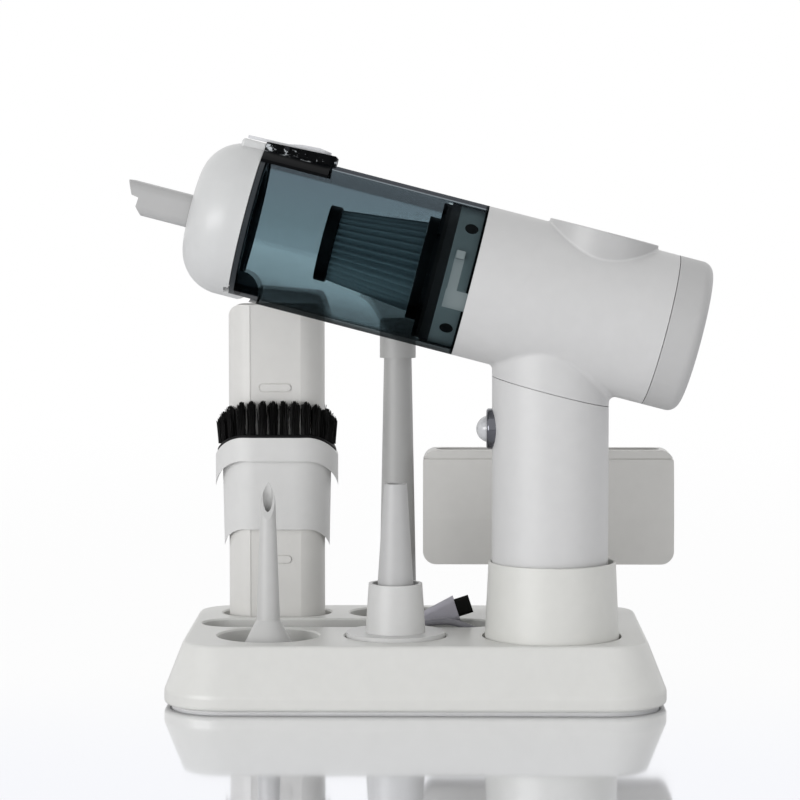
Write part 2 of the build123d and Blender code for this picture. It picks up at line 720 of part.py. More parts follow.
def lathe_cap(start, end, radius, dome, edge, wall):
    """A domed cap turned about X, open towards its start."""
    def solid(inset):
        near = start if inset == 0 else start - (1 if end > start else -1)
        step = inset if end > start else -inset
        rim = end - step
        face = make_face(Polyline((near, 0), (near, radius - inset), (rim, radius - inset),
                                  (rim + (dome if end > start else -dome), 0), close=True))
        corner = face.vertices().sort_by(Axis.Y)[-2:]
        corner = sorted(corner, key=lambda v: abs(v.X - rim))[0]
        return revolve(Plane.XZ * fillet(corner, max(edge - inset, 0.5)), Axis.X)
    return solid(0) - solid(wall)


def make_rear_cap():
    """The exhaust cap, with rings of slots through its back."""
    start = BODY_LENGTH + BODY_GAP
    end = BODY_LENGTH + REAR_CAP_LENGTH
    cap = lathe_cap(start, end, BARREL_RADIUS, 0.6, REAR_CAP_EDGE, BARREL_WALL)
    cap += ring(CUP_BORE - SLIDE_CLEARANCE, CUP_BORE - 2.1, start - 6, start + 2)
    cap += ring(CUP_BORE + 0.5, CUP_BORE - 2.1, start, start + 2)
    slot = Plane.YZ * Pos(0, 0) * SlotOverall(9.5, 2.2, rotation=90)
    for count, radius in ((10, 9), (20, 20)):
        for turn in range(count):
            cut = Pos(end - 4, 0, 0) * extrude(slot, 8)
            cap -= Rot(turn * 360 / count, 0, 0) * Pos(0, 0, radius) * cut
    return cap


def make_exhaust_foam():
    end = BODY_LENGTH + REAR_CAP_LENGTH - BARREL_WALL
    return rod(CUP_BORE - REAR_CAP_EDGE + 1.5, end - 6, end)


def star(radius):
    """A pleated outline with its tips on one radius."""
    points = []
    for step in range(2 * PLEAT_COUNT):
        reach = radius if step % 2 == 0 else radius * PLEAT_RATIO
        angle = pi * step / PLEAT_COUNT
        points.append((reach * cos(angle), reach * sin(angle)))
    return make_face(Polyline(*points, close=True))


def make_filter_pleats():
    front = FILTER_FRONT + FILTER_CAP_THICKNESS

    def cone_of_pleats(share, start, end):
        return loft([Plane(origin=(start, 0, 0), z_dir=(1, 0, 0)) * star(PLEAT_FRONT_RADIUS * share),
                     Plane(origin=(end, 0, 0), z_dir=(1, 0, 0)) * star(PLEAT_REAR_RADIUS * share)],
                    ruled=True)
    return cone_of_pleats(1, front, PLEATS_END) - cone_of_pleats(PLEAT_SHEET, front, PLEATS_END)


def make_filter_cap():
    back = FILTER_FRONT + FILTER_CAP_THICKNESS
    cap = rod(FILTER_CAP_RADIUS, FILTER_FRONT, back)
    cap = fillet(cap.edges(), 0.8)
    return cap - rod(FILTER_CAP_RADIUS - 3.5, FILTER_FRONT - 1, FILTER_FRONT + 1.6)


def make_filter_base():
    """The filter's foot, whose flange seats on the front of the bayonet ring."""
    flange_front = PLEATS_END + FILTER_BASE_THICKNESS
    base = ring(FILTER_BASE_RADIUS, FILTER_BORE, PLEATS_END, flange_front)
    base += ring(FILTER_FLANGE_RADIUS, FILTER_BORE, flange_front, RING_FRONT)
    base += ring(RING_BORE - SLIDE_CLEARANCE, RING_BORE - 2.3, RING_FRONT, RING_FRONT + 4.5)
    for turn in range(12):
        base -= Rot(turn * 30, 0, 0) * Pos(flange_front, 0, FILTER_FLANGE_RADIUS) * Box(3, 3.2, 3.4)
    return base


# Dust cup, nose and latch

def hinge_rod(radius, half_width):
    return cross_rod(radius, HINGE_X, HINGE_Z, half_width)


def below_hinge():
    return block(HINGE_X - 20, HINGE_X + 20, -40, 40, HINGE_Z - 20, HINGE_Z)


def hinge_relief():
    """Room in the cup for the nose's knuckle and for what swings below the pin."""
    half = KNUCKLE_HALF_WIDTH + SLIDE_CLEARANCE
    sweep = hinge_rod(HINGE_SWEEP, half) & below_hinge()
    return sweep + hinge_rod(KNUCKLE_RADIUS + 0.5, half)


def make_dust_cup():
    """The clear cup, with an L-shaped bayonet slot through each side of its rear edge."""
    cup = ring(BARREL_RADIUS, CUP_BORE, CUP_FRONT + FRONT_RING_LENGTH, -0.1)
    reach = PEG_LENGTH / 2 + SLOT_CLEARANCE
    for half_turn in (0, 180):
        slot = sector(PEG_X - reach, PEG_X + reach, CUP_BORE - 1, BARREL_RADIUS + 1,
                      PEG_ANGLE - PEG_HALF_ANGLE - 0.6, WINDOW_ANGLE)
        window = sector(WINDOW_FRONT, 1, CUP_BORE - 1, BARREL_RADIUS + 1,
                        WINDOW_ANGLE - WINDOW_HALF_ANGLE, WINDOW_ANGLE + WINDOW_HALF_ANGLE)
        cup -= Rot(half_turn, 0, 0) * (slot + window)
    return cup - hinge_rod(LUG_RADIUS + SEAT_CLEARANCE, LUG_HALF_WIDTH + SEAT_CLEARANCE)


def make_cup_front_ring():
    """The dark ring at the cup's mouth, with the hinge lugs and the lip that the seal meets."""
    front = CUP_FRONT + BODY_GAP
    seam = CUP_FRONT + FRONT_RING_LENGTH
    body = ring(BARREL_RADIUS, LIP_RADIUS, front, front + 2)
    body += ring(BARREL_RADIUS, CUP_BORE - 1.8, front, seam)
    body += ring(CUP_BORE - SEAT_CLEARANCE, CUP_BORE - 1.8, seam - 0.5, seam + FRONT_RING_SPIGOT)
    lugs = hinge_rod(LUG_RADIUS, LUG_HALF_WIDTH) & rod(BARREL_RADIUS, front, 0)
    body += lugs
    body -= hinge_relief()
    return body - hinge_rod(HINGE_PIN + SEAT_CLEARANCE, LUG_HALF_WIDTH + 1)


def make_hinge_pin():
    return hinge_rod(HINGE_PIN, LUG_HALF_WIDTH) & rod(BARREL_RADIUS, HINGE_X - 9, HINGE_X + 9)


def inlet_outline(grow):
    return RectangleRounded(SPOUT_WIDTH + 2 * grow, SPOUT_HEIGHT + 2 * grow, SPOUT_CORNER + grow)


def inlet_prism(grow, start, end):
    """The inlet's section, drawn along the barrel."""
    plane = Plane(origin=(start, 0, INLET_Z), x_dir=(0, 1, 0), z_dir=(1, 0, 0))
    return extrude(plane * inlet_outline(grow), end - start)


def make_nose_cap():
    """The domed front that swings down, with its sleeve, tab and hinge knuckle."""
    nose = lathe_cap(CUP_FRONT, NOSE_FRONT, BARREL_RADIUS, NOSE_DOME, NOSE_EDGE, BARREL_WALL)
    solid_nose = lathe_cap(CUP_FRONT, NOSE_FRONT, BARREL_RADIUS, NOSE_DOME, NOSE_EDGE, 0.0)
    play = SLIDE_CLEARANCE
    nose += inlet_prism(play + SLEEVE_WALL, NOSE_FRONT + 1, INLET_PLATE_X)
    tab = block(CUP_FRONT - TAB_LENGTH, CUP_FRONT, -TAB_HALF_WIDTH, TAB_HALF_WIDTH,
                BARREL_RADIUS - 7, TAB_TOP)
    tab = fillet(tab.edges().filter_by(Axis.Y).sort_by(Axis.X)[0:2].sort_by(Axis.Z)[-1], 1.5)
    tab = fillet(tab.edges().filter_by(Axis.X).sort_by(Axis.Z)[-2:], 1.2)
    nose += tab - rod(CUP_BORE + 0.5, NOSE_FRONT, CUP_FRONT + 1)
    lug_room = hinge_rod(HINGE_SWEEP, LUG_HALF_WIDTH + 1)
    nose -= lug_room - hinge_rod(HINGE_SWEEP + 1, KNUCKLE_HALF_WIDTH)
    arm = hinge_rod(HINGE_SWEEP - 0.4, KNUCKLE_HALF_WIDTH) & below_hinge()
    arm &= block(CUP_FRONT - 4, HINGE_X, -20, 20, HINGE_Z - 9, HINGE_Z)
    knuckle = hinge_rod(KNUCKLE_RADIUS, KNUCKLE_HALF_WIDTH)
    nose += (arm + knuckle) & rod(BARREL_RADIUS, CUP_FRONT - 9, 0)
    nose -= hinge_rod(HINGE_PIN + SEAT_CLEARANCE, LUG_HALF_WIDTH)
    return nose - inlet_prism(play, NOSE_FRONT - 5, INLET_PLATE_X + 1)


def make_inlet_plate():
    """The wall behind the nose, with the brackets of the inlet flap."""
    plate = rod(CUP_BORE - 0.1, INLET_PLATE_X, PLATE_BACK)
    plate -= inlet_prism(SLIDE_CLEARANCE, INLET_PLATE_X - 1, PLATE_BACK + 1)
    plate -= hinge_rod(HINGE_SWEEP + 0.1, LUG_HALF_WIDTH + 2)
    for side in (-1, 1):
        bracket = block(PLATE_BACK - 0.2, PLATE_BACK + 2.0, 17.0, 19.0,
                        FLAP_HINGE_Z - 1.4, FLAP_HINGE_Z + 1.4)
        plate += mirror(bracket, Plane.XZ) if side < 0 else bracket
    return plate - cross_rod(0.85, PLATE_BACK + 1.1, FLAP_HINGE_Z, 22)


def make_inlet_flap():
    """The soft flap that keeps dust in the cup, hung from a thin rod."""
    flap = block(PLATE_BACK + 0.05, PLATE_BACK + 1.0, -16.4, 16.4,
                 INLET_Z - SPOUT_HEIGHT / 2 - 1.5, FLAP_HINGE_Z)
    return flap + cross_rod(0.8, PLATE_BACK + 1.1, FLAP_HINGE_Z, 18.6)


def make_nose_seal():
    return ring(LIP_RADIUS + 4, LIP_RADIUS + 1, PLATE_BACK, CUP_FRONT + BODY_GAP / 2)


def make_spout():
    """The flat spout in the inlet, with its stepped and slanted mouth."""
    half = SPOUT_HEIGHT / 2
    spout = inlet_prism(0, SPOUT_TIP, SPOUT_REAR)
    spout -= inlet_prism(-SPOUT_WALL, SPOUT_TIP - 1, SPOUT_REAR + 1)
    mouth = side_profile([
        (SPOUT_TIP - 1, INLET_Z + half + 0.5), (SPOUT_TIP - 0.2, INLET_Z + half + 0.5),
        (SPOUT_TIP + 2.8, INLET_Z + 0.9), (SPOUT_TIP + 5.9, INLET_Z + 0.4),
        (SPOUT_TIP + 5.6, INLET_Z - 3.6), (SPOUT_TIP + 8.8, INLET_Z - half - 0.5),
        (SPOUT_TIP - 1, INLET_Z - half - 0.5)], SPOUT_WIDTH)
    return spout - mouth


def make_latch_base():
    """The dark cradle on top of the cup that the lever rocks in."""
    front = CUP_FRONT + BODY_GAP
    saddle = ring(BARREL_RADIUS + 1.1, BARREL_RADIUS, front, LATCH_BASE_REAR - 2)
    saddle &= block(front, LATCH_BASE_REAR, -LATCH_SADDLE_HALF_WIDTH, LATCH_SADDLE_HALF_WIDTH,
                    0, LATCH_BASE_TOP)
    cradle = block(front, LATCH_BASE_REAR, -LATCH_BASE_HALF_WIDTH, LATCH_BASE_HALF_WIDTH,
                   BARREL_RADIUS - 3, LATCH_BASE_TOP)
    cradle = fillet(cradle.edges().filter_by(Axis.Z).sort_by(Axis.X)[-2:], 5)
    cradle &= side_profile([
        (front - 1, 25), (front - 1, LATCH_BASE_TOP - CHEEK_RISE - 0.6),
        (LATCH_BASE_REAR - 1.2, LATCH_BASE_TOP), (LATCH_BASE_REAR, LATCH_BASE_TOP - 0.9),
        (LATCH_BASE_REAR + 0.1, BARREL_RADIUS + 1.2), (LATCH_BASE_REAR - 2.2, 25)], 12)
    room = LEVER_HALF_WIDTH + 0.5
    cradle -= block(front - 1, LATCH_BASE_REAR - 1.6, -room, room, BARREL_RADIUS + 0.7, 40)
    for side in (-1, 1):
        for step in range(3):
            x = front + 5 + 7.5 * step
            outer = side * LATCH_BASE_HALF_WIDTH
            cradle -= Pos(x, outer, BARREL_RADIUS + 1.6) * Box(4.5, 1.6, 2.0)
    base = saddle + (cradle - rod(BARREL_RADIUS, front - 1, 0))
    base -= cross_rod(LATCH_HUB + 0.3, LATCH_PIN_X, LATCH_PIN_Z, room)
    return base - cross_rod(LATCH_PIN + SEAT_CLEARANCE, LATCH_PIN_X, LATCH_PIN_Z, 12)


def make_latch_pin():
    return cross_rod(LATCH_PIN, LATCH_PIN_X, LATCH_PIN_Z, LATCH_BASE_HALF_WIDTH - 0.2)


def make_latch_lever():
    """The rocker that reaches over the nose's tab in front and is pressed at its rear."""
    front_z = TAB_TOP + 0.4
    plate = side_profile([
        (LEVER_FRONT, front_z), (LATCH_PIN_X, front_z + 0.2), (LEVER_REAR - 12, front_z + 0.9),
        (LEVER_REAR, front_z + 1.6), (LEVER_REAR, front_z + 2.6), (LEVER_REAR - 5, front_z + 3.4),
        (LEVER_REAR - 13, front_z + 2.9), (LATCH_PIN_X, front_z + 1.7),
        (LEVER_FRONT, front_z + 1.3)], LEVER_HALF_WIDTH)
    plan = block(LEVER_FRONT, LEVER_REAR, -LEVER_HALF_WIDTH, LEVER_HALF_WIDTH, 30, 45)
    plate &= fillet(plan.edges().filter_by(Axis.Z).sort_by(Axis.X)[-2:], 4)
    hub = cross_rod(LATCH_HUB, LATCH_PIN_X, LATCH_PIN_Z, LEVER_HALF_WIDTH)
    return plate + hub - cross_rod(LATCH_PIN + SEAT_CLEARANCE, LATCH_PIN_X, LATCH_PIN_Z, 12)


# Crevice tube and sliding brush, standing at the back left

def make_crevice_tube():
    """A flattened tube with rounded mouth corners, sunk panels and two detents a side."""
    outline = SlotOverall(TUBE_WIDTH, TUBE_DEPTH)
    tube = prism(outline, POCKET_FLOOR, TUBE_TOP)
    front_view = Plane.XZ * Pos(0, (POCKET_FLOOR + TUBE_TOP) / 2) * Rectangle(
        TUBE_WIDTH, TUBE_TOP - POCKET_FLOOR)
    slab = extrude(front_view, TUBE_DEPTH, both=True)
    slab = fillet(slab.edges().filter_by(Axis.Y).sort_by(Axis.Z)[-2:], TUBE_CORNER)
    tube &= slab
    for side in (-1, 1):
        panel = Pos(0, side * TUBE_DEPTH / 2, 0) * Box(PANEL_WIDTH, 2 * PANEL_DEPTH, 400)
        tube -= panel
        for level in (0, 1):
            z = DETENT_LOW_Z + level * DETENT_PITCH
            stud = Plane.XZ * Pos(0, z) * SlotOverall(DETENT_LENGTH, DETENT_WIDTH)
            rim = offset(stud, DETENT_GROOVE)
            face_y = TUBE_DEPTH / 2 - PANEL_DEPTH
            tube -= Pos(0, side * face_y, 0) * extrude(rim, DETENT_GROOVE, both=True)
            tube += Pos(0, side * face_y, 0) * extrude(stud, PANEL_DEPTH * 0.8, both=True)
    tube -= prism(offset(outline, -TUBE_WALL - PANEL_DEPTH), POCKET_FLOOR - 1, TUBE_TOP + 1)
    return Pos(LEFT_X, BACK_ROW_Y, 0) * tube


def bow_radius(half, drop):
    """Radius of the arcs by which an edge of the brush bows down towards both sides."""
    reach = half - BRUSH_FLAT
    return (reach ** 2 + drop ** 2) / (2 * drop)


def bow_drop(x, half=BRUSH_WIDTH / 2, drop=BRUSH_RIM_DROP):
    """How far a bowed edge has dropped at one distance from the middle."""
    radius = bow_radius(half, drop)
    beyond = min(max(abs(x) - BRUSH_FLAT, 0), half - BRUSH_FLAT)
    return radius - sqrt(radius ** 2 - beyond ** 2)


def saddle_below(height, half=BRUSH_WIDTH / 2, drop=BRUSH_RIM_DROP):
    """Everything under a level that bows down towards both sides."""
    middle = (half + BRUSH_FLAT) / 2
    left = [(-x, height - bow_drop(x, half, drop)) for x in (half, middle, BRUSH_FLAT)]
    right = [(x, height - bow_drop(x, half, drop)) for x in (BRUSH_FLAT, middle, half)]
    outside = BRUSH_WIDTH / 2 + 3
    face = make_face([
        ThreePointArc(*left), Line(left[-1], right[0]), ThreePointArc(*right),
        Polyline(right[-1], (outside, height - drop), (outside, 0), (-outside, 0),
                 (-outside, height - drop), left[0])])
    return extrude(Plane.XZ * face, BRUSH_DEPTH, both=True)


def make_brush_head():
    """The sleeve that slides on the tube, with its stepped flange and bowed edges."""
    waist = loft([
        Pos(0, 0, BRUSH_HEM_Z - BRUSH_HEM_DROP - 3) * SlotOverall(
            BRUSH_HEM_WIDTH, BRUSH_HEM_DEPTH),
        Pos(0, 0, BRUSH_RIM_Z) * SlotOverall(BRUSH_WAIST_WIDTH, BRUSH_WAIST_DEPTH)], ruled=True)
    flange = loft([
        Pos(0, 0, BRUSH_LEDGE_Z - BRUSH_LEDGE_DROP - 6) * SlotOverall(BRUSH_WIDTH, BRUSH_DEPTH),
        Pos(0, 0, BRUSH_RIM_Z) * SlotOverall(BRUSH_WIDTH, BRUSH_DEPTH)], ruled=True)
    sleeve = waist - saddle_below(BRUSH_HEM_Z, BRUSH_HEM_WIDTH / 2, BRUSH_HEM_DROP)
    sleeve += flange - saddle_below(BRUSH_LEDGE_Z, BRUSH_WIDTH / 2, BRUSH_LEDGE_DROP)
    sleeve &= saddle_below(BRUSH_RIM_Z)
    bore = offset(SlotOverall(TUBE_WIDTH, TUBE_DEPTH), SLIDE_CLEARANCE)
    sleeve -= prism(bore, 0, BRUSH_RIM_Z + 5)
    return Pos(LEFT_X, BACK_ROW_Y, 0) * sleeve


def make_brush_bristles():
    """Tufts of three-sided strands in a slice of backing that sits on the brush's rim."""
    track = SlotOverall((BRUSH_WIDTH + TUBE_WIDTH) / 2, (BRUSH_DEPTH + TUBE_DEPTH) / 2)
    track_wire = track.wire()
    outer = offset(track, TUFT_RADIUS + 0.5)
    inner = offset(track, -TUFT_RADIUS - 0.5)
    rim = BRUSH_RIM_Z + 0.02
    backing = prism(outer - inner, 0, BRUSH_RIM_Z + 10)
    backing &= saddle_below(rim + BACKING)
    backing -= saddle_below(rim)
    strands = []
    for tuft in range(TUFT_COUNT):
        at = track_wire.position_at(tuft / TUFT_COUNT)
        away = Vector(at.X, at.Y * 1.2, 0).normalized()
        for number in range(STRANDS_PER_TUFT):
            spread = TUFT_RADIUS * sqrt((number + 0.3) / STRANDS_PER_TUFT)
            angle = number * 2.39996
            dx, dy = spread * cos(angle), spread * sin(angle)
            base_z = rim + BACKING / 2 - bow_drop(at.X + dx)
            reach = STRAND_LENGTH * (1 - 0.05 * (number % 3))
            lean = away * 0.8 + Vector(dx, dy, 0) * 0.35
            foot = Pos(at.X + dx, at.Y + dy, base_z) * RegularPolygon(STRAND_RADIUS, 3)
            strands.append(Solid.extrude(foot.face(), Vector(lean.X, lean.Y, reach)))
    return Pos(LEFT_X, BACK_ROW_Y, 0) * backing.fuse(*strands)


# Small nozzles

def turned(points, x, y):
    """A ring-shaped piece turned about a standing axis."""
    profile = Plane.XZ * make_face(Polyline(*points, close=True))
    return Pos(x, y, 0) * revolve(profile, Axis.Z)


def make_pointed_nozzle():
    """A thin nozzle that flares into a funnel, cut to a pointed arch at its mouth."""
    flange_top = POCKET_FLOOR + NOZZLE_FLANGE_THICKNESS
    nozzle = turned([
        (0, POCKET_FLOOR), (NOZZLE_FLANGE, POCKET_FLOOR), (NOZZLE_FLANGE, flange_top),
        (POINTED_FLARE_RADIUS, flange_top), (POINTED_SHAFT_FOOT_RADIUS, POINTED_SHAFT_FOOT),
        (POINTED_SHAFT_TOP_RADIUS, POINTED_TOP + 2), (0, POINTED_TOP + 2)], 0, 0)
    bore = turned([
        (0, POCKET_FLOOR - 1), (NOZZLE_FLANGE - 3, POCKET_FLOOR - 1),
        (POINTED_FLARE_RADIUS - 2, flange_top),
        (POINTED_SHAFT_FOOT_RADIUS - POINTED_WALL, POINTED_SHAFT_FOOT + 1),
        (POINTED_SHAFT_TOP_RADIUS - POINTED_WALL, POINTED_TOP + 3), (0, POINTED_TOP + 3)], 0, 0)
    nozzle -= bore
    half = POINTED_SHAFT_TOP_RADIUS + 0.3
    arch_foot = POINTED_TOP - POINTED_ARCH
    left = ThreePointArc((-half, arch_foot), (-half * 0.62, (arch_foot + POINTED_TOP) / 2),
                         (0, POINTED_TOP))
    right = ThreePointArc((0, POINTED_TOP), (half * 0.62, (arch_foot + POINTED_TOP) / 2),
                          (half, arch_foot))
    outline = make_face([left, right, Line((half, arch_foot), (30, arch_foot)),
                         Line((30, arch_foot), (30, 0)), Line((30, 0), (-30, 0)),
                         Line((-30, 0), (-30, arch_foot)), Line((-30, arch_foot), (-half, arch_foot))])
    nozzle &= extrude(Plane.XZ * outline, 30, both=True)
    depth = POINTED_SHAFT_TOP_RADIUS
    slant = Plane.YZ * make_face(Polyline(
        (-depth - 1, POINTED_MOUTH), (depth * 0.75, POINTED_TOP + 3), (-depth - 1, POINTED_TOP + 3),
        close=True))
    nozzle -= extrude(slant, 10, both=True)
    return Pos(LEFT_X, FRONT_ROW_Y, 0) * nozzle


def make_cone_adapter():
    """The adapter that fills its pocket with a flange and holds the cone tube."""
    grip = CONE_COLLAR_TOP_RADIUS - 1.5
    floor = CONE_TUBE_FOOT
    adapter = turned([
        (16, POCKET_FLOOR), (18, POCKET_FLOOR), (19.5, CONE_FLANGE_TOP - 3),
        (NOZZLE_FLANGE, CONE_FLANGE_TOP - 3), (NOZZLE_FLANGE, CONE_FLANGE_TOP),
        (CONE_COLLAR_FOOT_RADIUS, CONE_FLANGE_TOP), (CONE_COLLAR_TOP_RADIUS, CONE_COLLAR_TOP),
        (grip, CONE_COLLAR_TOP), (grip, floor), (6.5, floor), (6.5, floor - 2),
        (16, floor - 9)], 0, 0)
    return Pos(MIDDLE_X, FRONT_ROW_Y, 0) * adapter


def cone_tube_radius(z):
    slope = (CONE_TUBE_EXIT_RADIUS - CONE_TUBE_TOP_RADIUS) / (CONE_TUBE_TOP - CONE_COLLAR_TOP)
    return CONE_TUBE_TOP_RADIUS + (CONE_TUBE_TOP - z) * slope


def make_cone_tube():
    """The slim tapered tube that plugs into the adapter."""
    grip = CONE_COLLAR_TOP_RADIUS - 1.5 - SLIDE_CLEARANCE
    foot = CONE_TUBE_FOOT
    knee = foot + 9
    return Pos(MIDDLE_X, FRONT_ROW_Y, 0) * turned([
        (6.6, foot), (grip, foot), (grip, foot + 7), (cone_tube_radius(knee), knee),
        (CONE_TUBE_TOP_RADIUS, CONE_TUBE_TOP), (CONE_TUBE_TOP_RADIUS - NOZZLE_WALL, CONE_TUBE_TOP),
        (cone_tube_radius(knee) - NOZZLE_WALL, knee)], 0, 0)


def pocket_foot(x):
    """The wide foot that stands a nozzle in one of the back pockets."""
    outline = SlotOverall(BACK_POCKET_LENGTH - 1.6, BACK_POCKET_DEPTH - 1.6)
    foot = prism(outline, POCKET_FLOOR, POCKET_FLOOR + FOOT_HEIGHT)
    foot -= prism(offset(outline, -WIDE_WALL), POCKET_FLOOR - 1,
                  POCKET_FLOOR + FOOT_HEIGHT - WIDE_WALL)
    return Pos(x, BACK_ROW_Y, 0) * foot


def make_tall_nozzle():
    """A long tapered tube on an oval foot."""
    top = POCKET_FLOOR + FOOT_HEIGHT
    tube = cone(TALL_FOOT_RADIUS, TALL_SHAFT_TOP_RADIUS, top, TALL_SHAFT_TOP,
                MIDDLE_X, BACK_ROW_Y)
    bore = cone(TALL_FOOT_RADIUS - NOZZLE_WALL, TALL_SHAFT_TOP_RADIUS - NOZZLE_WALL, top,
                TALL_SHAFT_TOP, MIDDLE_X, BACK_ROW_Y)
    throat = post(TALL_FOOT_RADIUS - NOZZLE_WALL, POCKET_FLOOR - 1, top, MIDDLE_X, BACK_ROW_Y)
    return pocket_foot(MIDDLE_X) + tube - bore - throat


def make_tall_tip():
    """The thicker end piece pushed over the top of the tall nozzle."""
    def shaft_radius(z):
        foot = POCKET_FLOOR + FOOT_HEIGHT
        return TALL_FOOT_RADIUS + (TALL_SHAFT_TOP_RADIUS - TALL_FOOT_RADIUS) * (
            z - foot) / (TALL_SHAFT_TOP - foot)
    fit = SEAT_CLEARANCE
    return Pos(MIDDLE_X, BACK_ROW_Y, 0) * turned([
        (shaft_radius(TALL_TIP_BOTTOM) + fit, TALL_TIP_BOTTOM), (TALL_TIP_RADIUS, TALL_TIP_BOTTOM),
        (TALL_TIP_RADIUS, TALL_TIP_TOP - 1), (TALL_TIP_RADIUS - 1, TALL_TIP_TOP),
        (TALL_SHAFT_TOP_RADIUS - NOZZLE_WALL, TALL_TIP_TOP),
        (TALL_SHAFT_TOP_RADIUS - NOZZLE_WALL, TALL_SHAFT_TOP + fit),
        (shaft_radius(TALL_SHAFT_TOP) + fit, TALL_SHAFT_TOP + fit)], 0, 0)


def wide_wedge(inset):
    """The side outline of the wide head, drawn across its width."""
    half = WIDE_DEPTH / 2 - inset
    mouth = WIDE_MOUTH_DEPTH / 2 - inset
    face = Plane.YZ * make_face(Polyline(
        (-half, WIDE_BOTTOM - 1), (half, WIDE_BOTTOM - 1), (half, WIDE_SHOULDER),
        (mouth, WIDE_TOP + 1), (-mouth, WIDE_TOP + 1), (-half, WIDE_SHOULDER), close=True))
    return extrude(face, WIDE_WIDTH, both=True)


def wide_front(inset, depth):
    """The front outline of the wide head, drawn to one depth."""
    face = Plane.XZ * Pos(0, (WIDE_BOTTOM + WIDE_TOP) / 2) * RectangleRounded(
        WIDE_WIDTH - 2 * inset, WIDE_TOP - WIDE_BOTTOM - 2 * inset, WIDE_CORNER - inset)
    return extrude(face, depth, both=True)


def make_wide_nozzle():
    """A wide hollow head that narrows in depth to its mouth, on a round neck and an oval foot."""
    head = wide_front(0, WIDE_DEPTH) & wide_wedge(0)
    groove_z = WIDE_TOP - WIDE_GROOVE_DROP
    band = block(-WIDE_WIDTH, WIDE_WIDTH, -WIDE_DEPTH, WIDE_DEPTH, groove_z, groove_z + 0.6)
    head -= band - (wide_front(GROOVE_DEPTH, WIDE_DEPTH) & wide_wedge(GROOVE_DEPTH))
    head -= wide_front(WIDE_WALL, WIDE_DEPTH) & wide_wedge(WIDE_WALL)
    head -= prism(SlotOverall(WIDE_WIDTH - 2 * WIDE_CORNER, WIDE_MOUTH_DEPTH - 3 * WIDE_WALL),
                  groove_z - 2, WIDE_TOP + 1)
    foot_top = POCKET_FLOOR + FOOT_HEIGHT
    neck = cone(WIDE_NECK_RADIUS, WIDE_DEPTH / 2 - 0.5, foot_top - 1, WIDE_BOTTOM + 1)
    bore = cone(WIDE_NECK_RADIUS - WIDE_WALL, WIDE_DEPTH / 2 - 0.5 - WIDE_WALL,
                foot_top - 1, WIDE_BOTTOM + 1)
    bore += post(WIDE_NECK_RADIUS - WIDE_WALL, foot_top - 3, foot_top - 1)
    bore += post(WIDE_DEPTH / 2 - 0.5 - WIDE_WALL, WIDE_BOTTOM, WIDE_BOTTOM + WIDE_WALL + 1)
    head = Pos(WIDE_NOZZLE_X, BACK_ROW_Y, 0) * (head + neck) + pocket_foot(WIDE_NOZZLE_X)
    return head - Pos(WIDE_NOZZLE_X, BACK_ROW_Y, 0) * bore


# Charging cable

def bend_radii(points):
    """Each corner's radius: as large as its two runs allow."""
    radii = []
    for before, at, after in zip(points, points[1:], points[2:]):
        one = Vector(*at) - Vector(*before)
        two = Vector(*after) - Vector(*at)
        turn = radians(one.get_angle(two))
        radii.append(0.45 * min(one.length, two.length) / tan(turn / 2))
    return radii


def make_cord(name, points):
    """A round cord through chosen points, as straight runs and tangent arcs."""
    radii = bend_radii(points)
    path = FilletPolyline(*points, radius=radii)
    start = Plane(origin=points[0], z_dir=Vector(*points[1]) - Vector(*points[0]))
    cord = sweep(start * Circle(CABLE_RADIUS), path=path)
    expected = path.length * pi * CABLE_RADIUS ** 2
    print(name, "length", round(path.length, 1), "radii", [round(r, 1) for r in radii],
          "volume share", round(cord.volume / expected, 3))
    return cord


def plug_place(back):
    """A place on the USB-C plug's axis, measured back from its front face."""
    tilt = radians(PLUG_TILT)
    return (PLUG_FRONT_X - back * cos(tilt), PLUG_Y, PLUG_FRONT_Z - back * sin(tilt))


def hank_top():
    return HANK_FLOOR_Z + HANK_PITCH * (HANK_LEVELS - 1)


def lead_points():
    """The lead from the USB-C plug: back behind the adapter, round, over the rim and down."""
    far = HANK_Y + HANK_HALF_WIDTH
    near = HANK_Y - HANK_HALF_WIDTH
    top = hank_top()
    tail = plug_place(OVERMOULD_LENGTH + RELIEF_LENGTH)
    bend = plug_place(OVERMOULD_LENGTH + RELIEF_LENGTH + 6.5)
    return [tail, bend, (-17.2, 9.3, 22.9), (-17.4, 1.0, 22.9), (-11.6, near, 24.3),
            (-2.8, near, 27.2), (6.4, near, 29.9), (15.2, near, 30.4), (23.4, near + 0.2, 27.6),
            (29.4, 0.9, 24.0), (29.5, 9.0, 21.2), (23.8, far - 0.1, 19.2), (15.0, far, top),
            (HANK_START_X, far, top)]


def tail_points():
    """The short tail from the hank to the USB-A plug."""
    far = HANK_Y + HANK_HALF_WIDTH
    return [(HANK_LEFT, far, HANK_FLOOR_Z), (-32.2, far, HANK_FLOOR_Z), (-40.0, 10.6, 9.2),
            (-47.0, USB_A_Y, USB_A_Z), (USB_A_TAIL_X, USB_A_Y, USB_A_Z)]


